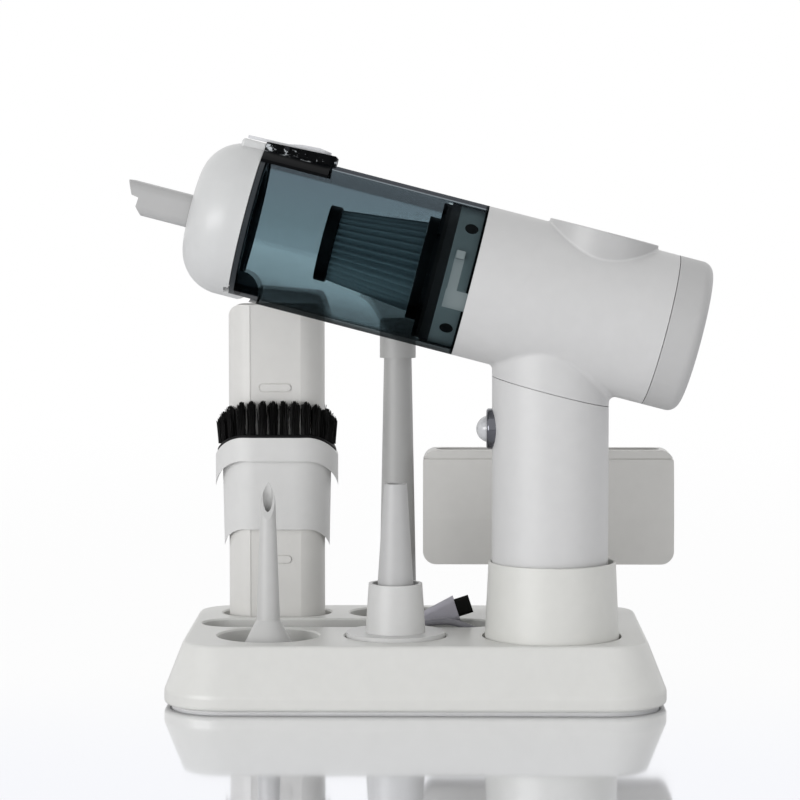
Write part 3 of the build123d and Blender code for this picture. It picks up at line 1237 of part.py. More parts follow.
def make_hank():
    """The stored length: loops stacked in levels, each climb along the near run."""
    far = HANK_Y + HANK_HALF_WIDTH
    near = HANK_Y - HANK_HALF_WIDTH
    right = HANK_LEFT + HANK_RUN
    z = hank_top()
    edges = [Line((HANK_START_X, far, z), (HANK_LEFT, far, z))]
    for level in range(HANK_LEVELS - 1):
        low = z - HANK_PITCH
        edges.append(ThreePointArc((HANK_LEFT, far, z), (HANK_LEFT - HANK_HALF_WIDTH, HANK_Y, z),
                                   (HANK_LEFT, near, z)))
        middle = ((HANK_LEFT + right) / 2, near, (z + low) / 2)
        edges.append(TangentArc([(HANK_LEFT, near, z), middle], tangent=(1, 0, 0)))
        edges.append(TangentArc([middle, (right, near, low)], tangent=edges[-1] % 1))
        edges.append(ThreePointArc((right, near, low), (right + HANK_HALF_WIDTH, HANK_Y, low),
                                   (right, far, low)))
        edges.append(Line((right, far, low), (HANK_LEFT, far, low)))
        z = low
    path = Wire(edges)
    start = Plane(origin=(HANK_START_X, far, hank_top()), z_dir=(-1, 0, 0))
    hank = sweep(start * Circle(CABLE_RADIUS), path=path)
    print("hank length", round(path.length, 1), "least gap", round(least_gap(path), 2),
          "volume share", round(hank.volume / (path.length * pi * CABLE_RADIUS ** 2), 3))
    return hank


def least_gap(path):
    """The smallest space between any two turns, measured on points along the path."""
    count = 400
    points = [path.position_at(i / count) for i in range(count + 1)]
    step = path.length / count
    skip = int(6 * CABLE_RADIUS / step) + 1
    least = 1e9
    for i, one in enumerate(points):
        for two in points[i + skip:]:
            least = min(least, (one - two).length)
    return least - 2 * CABLE_RADIUS


def make_cable_tie():
    """A flat tie round both runs of the hank, resting on the trough's floor."""
    inner_y = HANK_HALF_WIDTH + CABLE_RADIUS + TIE_CLEARANCE
    low = HANK_FLOOR_Z - CABLE_RADIUS - TIE_CLEARANCE
    high = hank_top() + CABLE_RADIUS + TIE_CLEARANCE
    plane = Plane(origin=(TIE_X, HANK_Y, (low + high) / 2), x_dir=(0, 1, 0), z_dir=(1, 0, 0))
    inner = RectangleRounded(2 * inner_y, high - low, CABLE_RADIUS)
    band = extrude(plane * (offset(inner, TIE_THICKNESS) - inner), TIE_WIDTH)
    return band


def on_plug_axis(shape):
    """Place a shape drawn along +X, with the plug's front face at X = 0."""
    return Pos(PLUG_FRONT_X, PLUG_Y, PLUG_FRONT_Z) * Rot(0, -PLUG_TILT, 0) * shape


def across(x, width, depth, corner):
    """A rounded section square to X, its width standing and its depth along Y."""
    plane = Plane(origin=(x, 0, 0), x_dir=(0, 0, 1), z_dir=(1, 0, 0))
    return plane * RectangleRounded(width, depth, corner)


def make_usb_c_overmould():
    """The grip of the USB-C plug, tapering into its strain relief."""
    corner = OVERMOULD_DEPTH / 2 - 0.1
    waist = OVERMOULD_WIDTH * 0.54
    grip = loft([across(-OVERMOULD_LENGTH, waist, OVERMOULD_DEPTH * 0.9, corner * 0.85),
                 across(0, OVERMOULD_WIDTH, OVERMOULD_DEPTH, corner)], ruled=True)
    relief_start = -OVERMOULD_LENGTH - RELIEF_LENGTH
    relief = Pos(relief_start, 0, 0) * Rot(0, 90, 0) * Cone(
        CABLE_RADIUS + 0.5, waist / 2 - 0.8, RELIEF_LENGTH + 0.5,
        align=(Align.CENTER, Align.CENTER, Align.MIN))
    return on_plug_axis(grip + relief)


def make_usb_c_shell():
    shell = extrude(across(0, USB_C_WIDTH, USB_C_DEPTH, USB_C_DEPTH / 2 - 0.05), USB_C_LENGTH)
    mouth = extrude(across(0.8, USB_C_WIDTH - 0.7, USB_C_DEPTH - 0.7, (USB_C_DEPTH - 0.8) / 2),
                    USB_C_LENGTH)
    return on_plug_axis(shell - mouth)


def make_usb_a_overmould():
    back = USB_A_TAIL_X - 5 - USB_A_GRIP
    grip = block(back, USB_A_TAIL_X - 5, USB_A_Y - 7.5, USB_A_Y + 7.5, USB_A_Z - 4, USB_A_Z + 4)
    grip = fillet(grip.edges(), 1.5)
    relief = Pos(USB_A_TAIL_X - 5.5, USB_A_Y, USB_A_Z) * Rot(0, 90, 0) * Cone(
        3.2, CABLE_RADIUS + 0.5, 5.5, align=(Align.CENTER, Align.CENTER, Align.MIN))
    return grip + relief


def make_usb_a_shell():
    """The open metal shell of the USB-A plug with its contact tongue."""
    grip_end = USB_A_TAIL_X - 5 - USB_A_GRIP
    shell = block(grip_end - USB_A_LENGTH, grip_end, USB_A_Y - USB_A_WIDTH / 2,
                  USB_A_Y + USB_A_WIDTH / 2, USB_A_Z - USB_A_DEPTH / 2, USB_A_Z + USB_A_DEPTH / 2)
    shell -= block(grip_end - USB_A_LENGTH - 1, grip_end - 1, USB_A_Y - USB_A_WIDTH / 2 + 0.4,
                   USB_A_Y + USB_A_WIDTH / 2 - 0.4, USB_A_Z - USB_A_DEPTH / 2 + 0.4,
                   USB_A_Z + USB_A_DEPTH / 2 - 0.4)
    tongue = block(grip_end - USB_A_LENGTH + 1, grip_end - 0.5, USB_A_Y - USB_A_WIDTH / 2 + 0.4,
                   USB_A_Y + USB_A_WIDTH / 2 - 0.4, USB_A_Z, USB_A_Z + USB_A_DEPTH / 2 - 0.4)
    return shell + tongue


# Write every node

save("dock_shell", make_dock_shell())
save("dock_bottom_cover", make_bottom_cover())
save("non_slip_pad", prism(dock_outline(-PAD_INSET), 0, PAD_THICKNESS))
save("dock_screws", *make_dock_screws())
save("handle_socket", make_socket())

save("cable_lead", make_cord("lead", lead_points()))
save("cable_hank", make_hank())
save("cable_tail", make_cord("tail", tail_points()))
save("cable_tie", make_cable_tie())
save("usb_c_overmould", make_usb_c_overmould())
save("usb_c_shell", make_usb_c_shell())
save("usb_a_overmould", make_usb_a_overmould())
save("usb_a_shell", make_usb_a_shell())

save("body_shell", make_body_shell())
save("handle_shell", make_handle_shell())
save("handle_base", make_handle_base())
save("charge_port", make_charge_port())
save("battery_cells", *make_battery_cells())
save("battery_holder", make_battery_holder())
save("circuit_board", make_circuit_board())
save("power_switch", make_switch())
save("button_bezel", make_button_bezel())
save("power_button", make_power_button())

save("bayonet_ring", BARREL * make_bayonet_ring())
save("ring_plugs", *[BARREL * plug for plug in make_ring_plugs()])
save("fan_shroud", BARREL * make_fan_shroud())
save("impeller", BARREL * make_impeller())
save("motor_shaft", BARREL * rod(SHAFT_RADIUS, IMPELLER_FRONT, BRACKET_X + BRACKET_THICKNESS + 6))
save("motor_bracket", BARREL * make_motor_bracket())
save("motor_can", BARREL * make_motor())
save("motor_screws", *[BARREL * screw for screw in make_motor_screws()])
save("rear_cap", BARREL * make_rear_cap())
save("exhaust_foam", BARREL * make_exhaust_foam())

save("filter_cap", BARREL * make_filter_cap())
save("filter_pleats", BARREL * make_filter_pleats())
save("filter_base", BARREL * make_filter_base())

save("dust_cup", BARREL * make_dust_cup())
save("cup_front_ring", BARREL * make_cup_front_ring())
save("hinge_pin", BARREL * make_hinge_pin())
save("latch_base", BARREL * make_latch_base())
save("latch_pin", BARREL * make_latch_pin())
save("latch_lever", BARREL * make_latch_lever())
save("nose_cap", BARREL * make_nose_cap())
save("nose_seal", BARREL * make_nose_seal())
save("inlet_plate", BARREL * make_inlet_plate())
save("inlet_flap", BARREL * make_inlet_flap())
save("spout", BARREL * make_spout())

save("crevice_tube", make_crevice_tube())
save("brush_head", make_brush_head())
save("brush_bristles", make_brush_bristles())
save("pointed_nozzle", make_pointed_nozzle())
save("cone_adapter", make_cone_adapter())
save("cone_tube", make_cone_tube())
save("tall_nozzle", make_tall_nozzle())
save("tall_nozzle_tip", make_tall_tip())
save("wide_nozzle", make_wide_nozzle())
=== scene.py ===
# %% [markdown]
# # A handheld vacuum cleaner on its dock
#
# The object is a small cordless vacuum cleaner. It stands by its round handle in a low white
# dock, which also holds its nozzles, a sliding brush and a charging cable. The solids come from
# the CAD model. This lesson gives them their finishes, and makes the pieces that are soft: the
# cable, the brush's bristles, the filter's paper, the seal and the foam.

# %% Load the solids
import bpy
import bmesh
import math
from mathutils import Matrix, Vector


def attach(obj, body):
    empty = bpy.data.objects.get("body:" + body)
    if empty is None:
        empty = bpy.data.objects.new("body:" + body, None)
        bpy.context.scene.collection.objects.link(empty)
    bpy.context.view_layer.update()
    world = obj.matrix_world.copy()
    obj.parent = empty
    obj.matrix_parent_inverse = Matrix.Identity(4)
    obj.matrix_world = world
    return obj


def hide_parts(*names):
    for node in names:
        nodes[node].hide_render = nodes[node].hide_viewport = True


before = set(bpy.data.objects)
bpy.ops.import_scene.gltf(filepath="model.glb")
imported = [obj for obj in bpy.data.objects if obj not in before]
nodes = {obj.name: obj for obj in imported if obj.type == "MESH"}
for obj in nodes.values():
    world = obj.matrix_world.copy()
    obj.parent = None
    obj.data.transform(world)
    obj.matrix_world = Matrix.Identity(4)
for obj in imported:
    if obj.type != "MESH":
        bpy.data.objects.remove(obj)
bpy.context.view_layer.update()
scene = bpy.context.scene
MM = 0.001

# %% [markdown]
# ## The camera
#
# The object was photographed from well back with a long lens, a little above its middle. A long
# lens keeps upright edges upright. Distances are in metres and angles in degrees.

# %% Place the camera
LENS_MM, SENSOR_MM = 128.25, 36.0
CAMERA_AT = (0.0096, -1.260, 0.2145)
TILT_DOWN, TURN_LEFT = 3.914, 0.762

camera_data = bpy.data.cameras.new("camera")
camera_data.lens = LENS_MM
camera_data.sensor_width = SENSOR_MM
camera = bpy.data.objects.new("camera", camera_data)
camera.location = CAMERA_AT
camera.rotation_euler = (math.radians(90 - TILT_DOWN), 0, math.radians(TURN_LEFT))
bpy.context.collection.objects.link(camera)
scene.camera = camera
scene.view_settings.view_transform = "Standard"
print("lens:", LENS_MM, "mm")

# %% [markdown]
# ## Helpers for node materials
#
# A finish is a small tree of nodes round one shader. One helper adds a node with its settings
# and links. Colours are written as sRGB hex, as a paint chart gives them, and turned to linear
# light by one function.

# %% Define the colour and node helpers
def linear(hex_colour):
    """An sRGB hex colour as linear red, green, blue and one."""
    parts = [int(hex_colour[i:i + 2], 16) / 255 for i in (1, 3, 5)]
    return tuple(c / 12.92 if c <= 0.04045 else ((c + 0.055) / 1.055) ** 2.4
                 for c in parts) + (1.0,)


def add_node(owner, kind, settings=None, inputs=None):
    """Add one node to a tree. An input is a plain value, or a socket that is linked to it."""
    tree = getattr(owner, "node_tree", None) or owner
    node = tree.nodes.new(kind)
    for key, value in (settings or {}).items():
        setattr(node, key, value)
    for key, value in (inputs or {}).items():
        if isinstance(value, bpy.types.NodeSocket):
            tree.links.new(value, node.inputs[key])
        else:
            node.inputs[key].default_value = value
    return node


def math_node(owner, operation, *values):
    """One sum, product or other small operation."""
    inputs = dict(enumerate(values))
    return add_node(owner, "ShaderNodeMath", {"operation": operation}, inputs).outputs[0]


def soft_step(owner, value, start, end, low=0.0, high=1.0):
    """A smooth change from one level to another between two limits."""
    return add_node(owner, "ShaderNodeMapRange", {"interpolation_type": "SMOOTHSTEP"}, {
        "Value": value, "From Min": start, "From Max": end,
        "To Min": low, "To Max": high}).outputs[0]


def new_material(name):
    """An empty node material, and the place of a point on the object."""
    material = bpy.data.materials.new(name)
    material.use_nodes = True
    material.node_tree.nodes.clear()
    place = add_node(material, "ShaderNodeTexCoord").outputs["Object"]
    return material, place


def finish_with(material, shader):
    """Send a shader to the material's output."""
    add_node(material, "ShaderNodeOutputMaterial", inputs={"Surface": shader})
    return material


print("middle grey in linear light:", round(linear("#808080")[0], 3))

# %% [markdown]
# ## The backdrop
#
# The set is a white studio. Its backdrop is full white for rays that come from the camera, also
# by way of a glossy face. All other rays meet half that light, so that the backdrop doesn't
# flood the object.

# %% Hang the backdrop
WORLD_LEVEL = 0.50

world = bpy.data.worlds.new("studio")
scene.world = world
world.use_nodes = True
world.node_tree.nodes.clear()
ray = add_node(world, "ShaderNodeLightPath").outputs
seen = math_node(world, "MAXIMUM", ray["Is Camera Ray"], ray["Is Glossy Ray"])
level = add_node(world, "ShaderNodeMapRange", inputs={
    "Value": seen, "To Min": WORLD_LEVEL, "To Max": 1.0})
backdrop = add_node(world, "ShaderNodeBackground", inputs={
    "Color": (1, 1, 1, 1), "Strength": level.outputs[0]})
add_node(world, "ShaderNodeOutputWorld", inputs={"Surface": backdrop.outputs[0]})
print("light of the backdrop on the object:", WORLD_LEVEL)

# %% [markdown]
# ## The floor
#
# A wide sheet of polished white acrylic lies on the table. Seen at a low angle it mirrors nearly
# all that stands on it, and seen from above it is mostly plain white. Its mirror image is a
# little hazy near the dock and a little bluish towards the camera. Far off the sheet is all
# mirror and runs into the backdrop. Only the camera sees the mirror. For all other rays the
# sheet is matt, so it lights the object evenly from below.

# %% Lay the acrylic sheet
SHEET_SIDE, SHEET_FRONT, SHEET_BACK = 40, -4, 90
NEAR_REACH, FAR_REACH = 0.2, 1.6
BLUISH_FROM, WHITE_FROM = -0.25, 0.06
NEAR_HAZE = 0.06
STEEP_VIEW, LOW_VIEW = 0.2, 0.78
STEEP_MIRROR, LOW_MIRROR = 0.15, 0.95

floor_mesh = bpy.data.meshes.new("acrylic_sheet")
floor_mesh.from_pydata([(-SHEET_SIDE, SHEET_FRONT, 0), (SHEET_SIDE, SHEET_FRONT, 0),
                        (SHEET_SIDE, SHEET_BACK, 0), (-SHEET_SIDE, SHEET_BACK, 0)],
                       [], [(0, 1, 2, 3)])
floor = bpy.data.objects.new("acrylic_sheet", floor_mesh)
bpy.context.collection.objects.link(floor)

acrylic, floor_place = new_material("polished white acrylic sheet")
from_dock = add_node(acrylic, "ShaderNodeVectorMath", {"operation": "LENGTH"}, {0: floor_place})
far_off = soft_step(acrylic, from_dock.outputs["Value"], NEAR_REACH, FAR_REACH)
depth = add_node(acrylic, "ShaderNodeSeparateXYZ", inputs={0: floor_place}).outputs["Y"]
mirror_colour = add_node(acrylic, "ShaderNodeMix", {"data_type": "RGBA"}, {
    "Factor": soft_step(acrylic, depth, BLUISH_FROM, WHITE_FROM),
    "A": linear("#f9fafe"), "B": (1, 1, 1, 1)})
sheet = add_node(acrylic, "ShaderNodeBsdfDiffuse", inputs={"Color": linear("#f4f4f6")})
haze = add_node(acrylic, "ShaderNodeMapRange", inputs={
    "Value": far_off, "To Min": NEAR_HAZE, "To Max": 0.0})
mirror = add_node(acrylic, "ShaderNodeBsdfAnisotropic", inputs={
    "Color": mirror_colour.outputs["Result"], "Roughness": haze.outputs[0]})
facing = add_node(acrylic, "ShaderNodeLayerWeight").outputs["Facing"]
near_share = add_node(acrylic, "ShaderNodeMapRange", inputs={
    "Value": facing, "From Min": STEEP_VIEW, "From Max": LOW_VIEW,
    "To Min": STEEP_MIRROR, "To Max": LOW_MIRROR})
mirror_share = add_node(acrylic, "ShaderNodeMapRange", inputs={
    "Value": far_off, "To Min": near_share.outputs[0], "To Max": 1.0})
to_camera = add_node(acrylic, "ShaderNodeLightPath").outputs["Is Camera Ray"]
polished = add_node(acrylic, "ShaderNodeMixShader", inputs={
    0: math_node(acrylic, "MULTIPLY", mirror_share.outputs[0], to_camera),
    1: sheet.outputs[0], 2: mirror.outputs[0]})
floor_mesh.materials.append(finish_with(acrylic, polished.outputs[0]))
print("floor nodes:", len(acrylic.node_tree.nodes))

# %% [markdown]
# ## The lamps
#
# A wide softbox on the left gives the main light, and a weak one on the right opens the shadows.
# A low card in front lights what faces down, a lamp above lights the tops, and two lamps behind
# light the edges and the back. The camera sees none of them. Only the front softboxes are
# mirrored by the glossy pieces.

# %% Set up the softboxes
def softbox(name, at, aim, size, watts, mirrored=False):
    """A rectangular lamp that faces a point. It is unseen, but for its mirror image if asked."""
    data = bpy.data.lights.new(name, "AREA")
    data.shape = "RECTANGLE"
    data.size, data.size_y = size
    data.energy = watts
    lamp = bpy.data.objects.new(name, data)
    lamp.location = at
    lamp.rotation_euler = (Vector(aim) - Vector(at)).to_track_quat("-Z", "Y").to_euler()
    lamp.visible_camera = False
    lamp.visible_glossy = mirrored
    bpy.context.collection.objects.link(lamp)


softbox("front_left_softbox", (-1.45, -1.60, 0.32), (0, 0, 0.13), (1.6, 0.9), 20.3, mirrored=True)
softbox("front_right_fill", (1.2, -1.7, 0.40), (0, 0, 0.12), (0.9, 1.1), 1.7, mirrored=True)
softbox("low_card", (0.15, -0.62, 0.02), (0.10, 0, 0.17), (0.9, 0.2), 0.9)
softbox("top_softbox", (0, 0.15, 1.2), (0, 0, 0.1), (1.2, 0.8), 1.5)
softbox("rear_softbox", (1.7, 1.5, 0.8), (0, 0, 0.12), (1.2, 0.9), 5.0)
softbox("rear_left_softbox", (-1.8, 1.5, 0.8), (0, 0, 0.12), (1.2, 0.9), 5.0)

# %% [markdown]
# ## The charging cable
#
# The cable is one soft round lead of 3 mm. From the USB-C plug it turns back behind the cone
# nozzle, comes round, and drops over the trough's rim. Its stored length is folded into a hank
# under a tie, and a short tail runs to the USB-A plug. All points are in millimetres.

# %% Choose the cable's points
CABLE_DIAMETER = 3.0
HANK_Y, FOLD_RADIUS = 5.0, 10.0
HANK_LEFT, HANK_RUN = -25.6, 45.0
HANK_LEVELS, HANK_PITCH, HANK_FLOOR_Z = 4, 3.5, 7.7
CORNERS_PER_FOLD = 6
NEAR_Y, FAR_Y = HANK_Y - FOLD_RADIUS, HANK_Y + FOLD_RADIUS
HANK_TOP_Z = HANK_FLOOR_Z + HANK_PITCH * (HANK_LEVELS - 1)

lead_points = [(-4.7253, 15.0, 25.9836), (-10.9072, 15.0, 23.975), (-17.2, 9.3, 22.9),
               (-17.4, 1.0, 22.9), (-11.6, NEAR_Y, 24.3), (-2.8, NEAR_Y, 27.2),
               (6.4, NEAR_Y, 29.9), (15.2, NEAR_Y, 30.4), (23.4, -4.8, 27.6), (29.4, 0.9, 24.0),
               (29.5, 9.0, 21.2), (23.8, 14.9, 19.2), (15.0, FAR_Y, HANK_TOP_Z),
               (6.6, FAR_Y, HANK_TOP_Z)]
tail_points = [(-32.2, FAR_Y, HANK_FLOOR_Z), (-40.0, 10.6, 9.2), (-47.0, 5.5, 10.7),
               (-53.5, 5.5, 10.7)]


def fold(centre_x, side, z):
    """The corners of one half turn. Side is -1 for the left fold and 1 for the right one."""
    step = math.pi / CORNERS_PER_FOLD
    reach = FOLD_RADIUS / math.cos(step / 2)
    corners = []
    for i in range(CORNERS_PER_FOLD):
        angle = (i + 0.5) * step
        corners.append((centre_x + side * reach * math.sin(angle),
                        HANK_Y - side * reach * math.cos(angle), z))
    return corners


hank_points = []
hank_z = HANK_TOP_Z
for turn in range(HANK_LEVELS - 1):
    hank_points += fold(HANK_LEFT, -1, hank_z)
    hank_z -= HANK_PITCH
    hank_points += fold(HANK_LEFT + HANK_RUN, 1, hank_z)
route = [Vector(p) * MM for p in lead_points + hank_points + tail_points]
print("cable points:", len(route))

# %% [markdown]
# A NURBS curve of low order follows the chosen points smoothly, so the lead bends as a real one
# does. The bare curve gives the cable's centre line, and the same curve with a round bevel gives
# its tube.

# %% Lay the cable
CURVE_ORDER, CURVE_STEPS, TUBE_STEPS = 3, 8, 5

cable_data = bpy.data.curves.new("charging_cable", "CURVE")
cable_data.dimensions = "3D"
spline = cable_data.splines.new("NURBS")
spline.points.add(len(route) - 1)
for point, at in zip(spline.points, route):
    point.co = (*at, 1.0)
spline.order_u = CURVE_ORDER
spline.use_endpoint_u = True
spline.resolution_u = CURVE_STEPS
cable_curve = bpy.data.objects.new("cable_curve", cable_data)
bpy.context.collection.objects.link(cable_curve)


def as_mesh(source):
    """An object's evaluated shape as a plain mesh: a bare line, a tube, or a tree's result."""
    evaluated = source.evaluated_get(bpy.context.evaluated_depsgraph_get())
    return bpy.data.meshes.new_from_object(evaluated)


cable_path = [tuple(vertex.co) for vertex in as_mesh(cable_curve).vertices]
cable_data.bevel_depth = CABLE_DIAMETER / 2 * MM
cable_data.bevel_resolution = TUBE_STEPS
cable_data.use_fill_caps = True
cable = bpy.data.objects.new("charging_cable", as_mesh(cable_curve))
bpy.context.collection.objects.link(cable)
bpy.data.objects.remove(cable_curve)
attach(cable, "dock")
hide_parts("cable_lead", "cable_hank", "cable_tail")
print("points on the cable's line:", len(cable_path))

# %% [markdown]
# ## The barrel's own frame
#
# The barrel is tilted, and many patterns follow it. In its own frame X runs along its axis from
# the nose to the rear, and Z runs across it, upwards. The frame is turned about the world's Y.

# %% Find the barrel's own frame
BARREL_AT = Vector((23.6, -31.0, 182.1)) * MM
BARREL_TILT = math.radians(14.5)
BARREL_RADIUS = 33.0
barrel = Matrix.Translation(BARREL_AT) @ Matrix.Rotation(BARREL_TILT, 4, "Y")


def in_barrel(material, place):
    """A point as a vector in millimetres in the barrel's own frame."""
    moved = add_node(material, "ShaderNodeVectorMath", {"operation": "SUBTRACT"},
                     {0: place, 1: BARREL_AT})
    turned = add_node(material, "ShaderNodeVectorRotate", {"rotation_type": "Y_AXIS"},
                      {"Vector": moved.outputs[0], "Angle": -BARREL_TILT})
    return add_node(material, "ShaderNodeVectorMath", {"operation": "SCALE"},
                    {0: turned.outputs[0], "Scale": 1 / MM}).outputs[0]


def along_barrel(material, place):
    """The point's X and Z in the barrel's own frame."""
    parts = add_node(material, "ShaderNodeSeparateXYZ", inputs={0: in_barrel(material, place)})
    return parts.outputs["X"], parts.outputs["Z"]


print("barrel's tilt:", round(math.degrees(BARREL_TILT), 1), "degrees")

# %% [markdown]
# ## Moulded plastics
#
# Most of the set is ABS, moulded in polished or finely blasted tools and left unpainted. It is
# nearly even in colour, with a soft gloss. A faint noise in the roughness and a very shallow
# bump give the slight orange peel that moulded plastic shows in a long reflection. The nozzles
# are polypropylene, which is more waxy, and the soft parts are TPE and silicone rubber, which
# are matt.

# %% Define moulded plastic
PEEL_MM, PEEL_STRENGTH, PEEL_DEPTH_MM = 6.0, 0.04, 0.2
BLAST_MM, BLAST_DEPTH_MM = 0.35, 0.05
GLOSS_SWING = 0.15
PLASTIC_IOR = 1.54


def moulded(name, colour, roughness, blasted=0.0, coat=0.0, mottle=0.03, specular=0.5,
            shading=None):
    """Injection-moulded plastic: an even colour, orange peel, and blasted grain where asked."""
    material, place = new_material(name)
    peel = add_node(material, "ShaderNodeTexNoise", inputs={
        "Vector": place, "Scale": 1 / (PEEL_MM * MM), "Detail": 2.0})
    shade = add_node(material, "ShaderNodeMapRange", inputs={
        "Value": peel.outputs["Fac"], "To Min": 1 - mottle, "To Max": 1 + mottle})
    tone = add_node(material, "ShaderNodeVectorMath", {"operation": "SCALE"}, {
        0: linear(colour)[:3], "Scale": shade.outputs[0]})
    # Where a shading is given, it darkens the colour as painted shade.
    if shading:
        tone = add_node(material, "ShaderNodeVectorMath", {"operation": "SCALE"}, {
            0: tone.outputs[0], "Scale": shading(material, place)})
    rough = add_node(material, "ShaderNodeMapRange", inputs={
        "Value": peel.outputs["Fac"], "To Min": roughness * (1 - GLOSS_SWING),
        "To Max": roughness * (1 + GLOSS_SWING)})
    bump = add_node(material, "ShaderNodeBump", inputs={
        "Height": peel.outputs["Fac"], "Strength": PEEL_STRENGTH,
        "Distance": PEEL_DEPTH_MM * MM})
    if blasted:
        grain = add_node(material, "ShaderNodeTexNoise", inputs={
            "Vector": place, "Scale": 1 / (BLAST_MM * MM), "Detail": 1.0})
        bump = add_node(material, "ShaderNodeBump", inputs={
            "Height": grain.outputs["Fac"], "Normal": bump.outputs[0],
            "Strength": blasted, "Distance": BLAST_DEPTH_MM * MM})
    shader = add_node(material, "ShaderNodeBsdfPrincipled", inputs={
        "Base Color": tone.outputs[0], "Roughness": rough.outputs[0],
        "Normal": bump.outputs[0], "IOR": PLASTIC_IOR, "Coat Weight": coat,
        "Specular IOR Level": specular})
    return finish_with(material, shader.outputs[0])


print("orange peel:", PEEL_MM, "mm across")

# %% [markdown]
# The body's round pod rises out of the top of the barrel, and its wall has painted shade, about a
# sixth darker than the rest of the body. The wall is found as the part of the body that lies
# outside the barrel's cylinder and above its axis, but below the pod's flat top.

# %% Shade the body's pod
POD_WALL_FROM = (33.1, 33.9)
POD_HEIGHT_FROM, POD_HEIGHT_TO = (6.0, 14.0), (34.6, 34.3)
POD_DARKER = 0.17


def pod_shade(material, place):
    """The share of light that the pod's wall keeps, and one elsewhere."""
    point = in_barrel(material, place)
    across = add_node(material, "ShaderNodeVectorMath", {"operation": "MULTIPLY"},
                      {0: point, 1: (0.0, 1.0, 1.0)})
    away = add_node(material, "ShaderNodeVectorMath", {"operation": "LENGTH"},
                    {0: across.outputs[0]}).outputs["Value"]
    height = add_node(material, "ShaderNodeSeparateXYZ", inputs={0: point}).outputs["Z"]
    # On the pod's wall the colour is darkened as painted shade.
    on_wall = math_node(material, "MULTIPLY", soft_step(material, height, *POD_HEIGHT_FROM),
                        soft_step(material, height, *POD_HEIGHT_TO))
    on_pod = math_node(material, "MULTIPLY", soft_step(material, away, *POD_WALL_FROM), on_wall)
    return math_node(material, "MULTIPLY_ADD", on_pod, -POD_DARKER, 1.0)


# The body's white is set darker than the handle's, and its pod wall darker still, as painted
# shade.
shaded_body_white = moulded("satin white ABS of the body", "#cecece", 0.38, shading=pod_shade)
print("pod's wall keeps", 1 - POD_DARKER, "of its light")

# %% [markdown]
# The whites are each set a little different. The body's white is a little darker than the
# handle's, as painted shade, though both are the same white plastic. Of the large pieces the dock
# and the nose are the glossiest, and the handle and the rear cap are satin. The latch's lever and
# the button have a clear coat.

# %% Mix the moulded plastics
dock_white = moulded("white gloss ABS", "#dbdbd8", 0.33)
socket_white = moulded("satin warm white ABS", "#d8d8d4", 0.34)
handle_white = moulded("satin white ABS of the handle", "#d1d1d1", 0.36)
cap_white = moulded("satin white ABS of the rear cap", "#bbbbbb", 0.42)
spout_white = moulded("satin grey-white ABS of the spout", "#b3b3b3", 0.42)
nose_pearl = moulded("pearl grey ABS", "#d1d2d2", 0.33)
tube_grey = moulded("satin pale grey polypropylene", "#dcdbd8", 0.38, blasted=0.15)
brush_grey = moulded("satin light grey polypropylene", "#dadad9", 0.38, blasted=0.15)
tall_grey = moulded("satin mid grey polypropylene", "#b0b0af", 0.38, blasted=0.15)
wide_grey = moulded("satin warm grey polypropylene", "#d5d4d1", 0.38, blasted=0.15)
adapter_white = moulded("satin near-white polypropylene", "#cfcfce", 0.34, blasted=0.1)
pointed_white = moulded("satin pale polypropylene", "#c5c5c4", 0.34, blasted=0.1)
cone_white = moulded("satin grey-white polypropylene", "#bcbcbc", 0.36, blasted=0.1)
lever_silver = moulded("gloss silver-white ABS", "#dcdde0", 0.14, coat=0.5)
button_pearl = moulded("pearl grey gloss ABS", "#c9cacd", 0.12, coat=0.5)
front_ring_black = moulded("smoke-black ABS", "#2c3135", 0.2, specular=0.22)
dark_satin = moulded("satin black ABS", "#08090b", 0.45, specular=0.12)
cover_grey = moulded("plain grey ABS", "#8e8e8e", 0.45, blasted=0.3)
lilac_grey = moulded("soft lilac-grey TPE", "#bdbbc5", 0.5, blasted=0.3)
cable_grey = moulded("satin grey TPE cable jacket", "#84838a", 0.45, blasted=0.3)
# The pad's pale colour is painted light: it lifts the shade in the gap under the dock.
pad_grey = moulded("soft grey silicone rubber", "#e4e4e4", 0.7, blasted=0.5)
seal_black = moulded("soft black silicone rubber", "#0a0a0b", 0.55, blasted=0.3, specular=0.15)
board_green = moulded("green solder mask", "#1f5a3a", 0.34, mottle=0.15)
cell_wrap = moulded("blue PVC cell wrap", "#2b5fa8", 0.34)
fan_grey = moulded("dark grey glass-filled nylon", "#3a3c3f", 0.5, blasted=0.4)
print("materials:", len(bpy.data.materials))

# %% [markdown]
# ## Metals
#
# The button's bezel is chrome plate with a dark tint, smooth and mirror-like. The screws and the
# motor's shaft are turned steel, whose fine lines spread a highlight a little. The pins are
# blackened steel, and the plugs' shells are plated sheet steel.

# %% Make the metals
TURNING_LINE_MM, LINE_STRETCH = 0.4, 0.05
LINE_SWING = 0.2


def bare_metal(name, colour, roughness):
    """Plated or turned steel, with fine lines along the piece."""
    material, place = new_material(name)
    stretch = add_node(material, "ShaderNodeMapping", inputs={
        "Vector": place, "Scale": (1.0, 1.0, LINE_STRETCH)})
    lines = add_node(material, "ShaderNodeTexNoise", inputs={
        "Vector": stretch.outputs[0], "Scale": 1 / (TURNING_LINE_MM * MM), "Detail": 2.0})
    rough = add_node(material, "ShaderNodeMapRange", inputs={
        "Value": lines.outputs["Fac"], "To Min": roughness * (1 - LINE_SWING),
        "To Max": roughness * (1 + LINE_SWING)})
    shader = add_node(material, "ShaderNodeBsdfPrincipled", inputs={
        "Base Color": linear(colour), "Metallic": 1.0, "Roughness": rough.outputs[0]})
    return finish_with(material, shader.outputs[0])


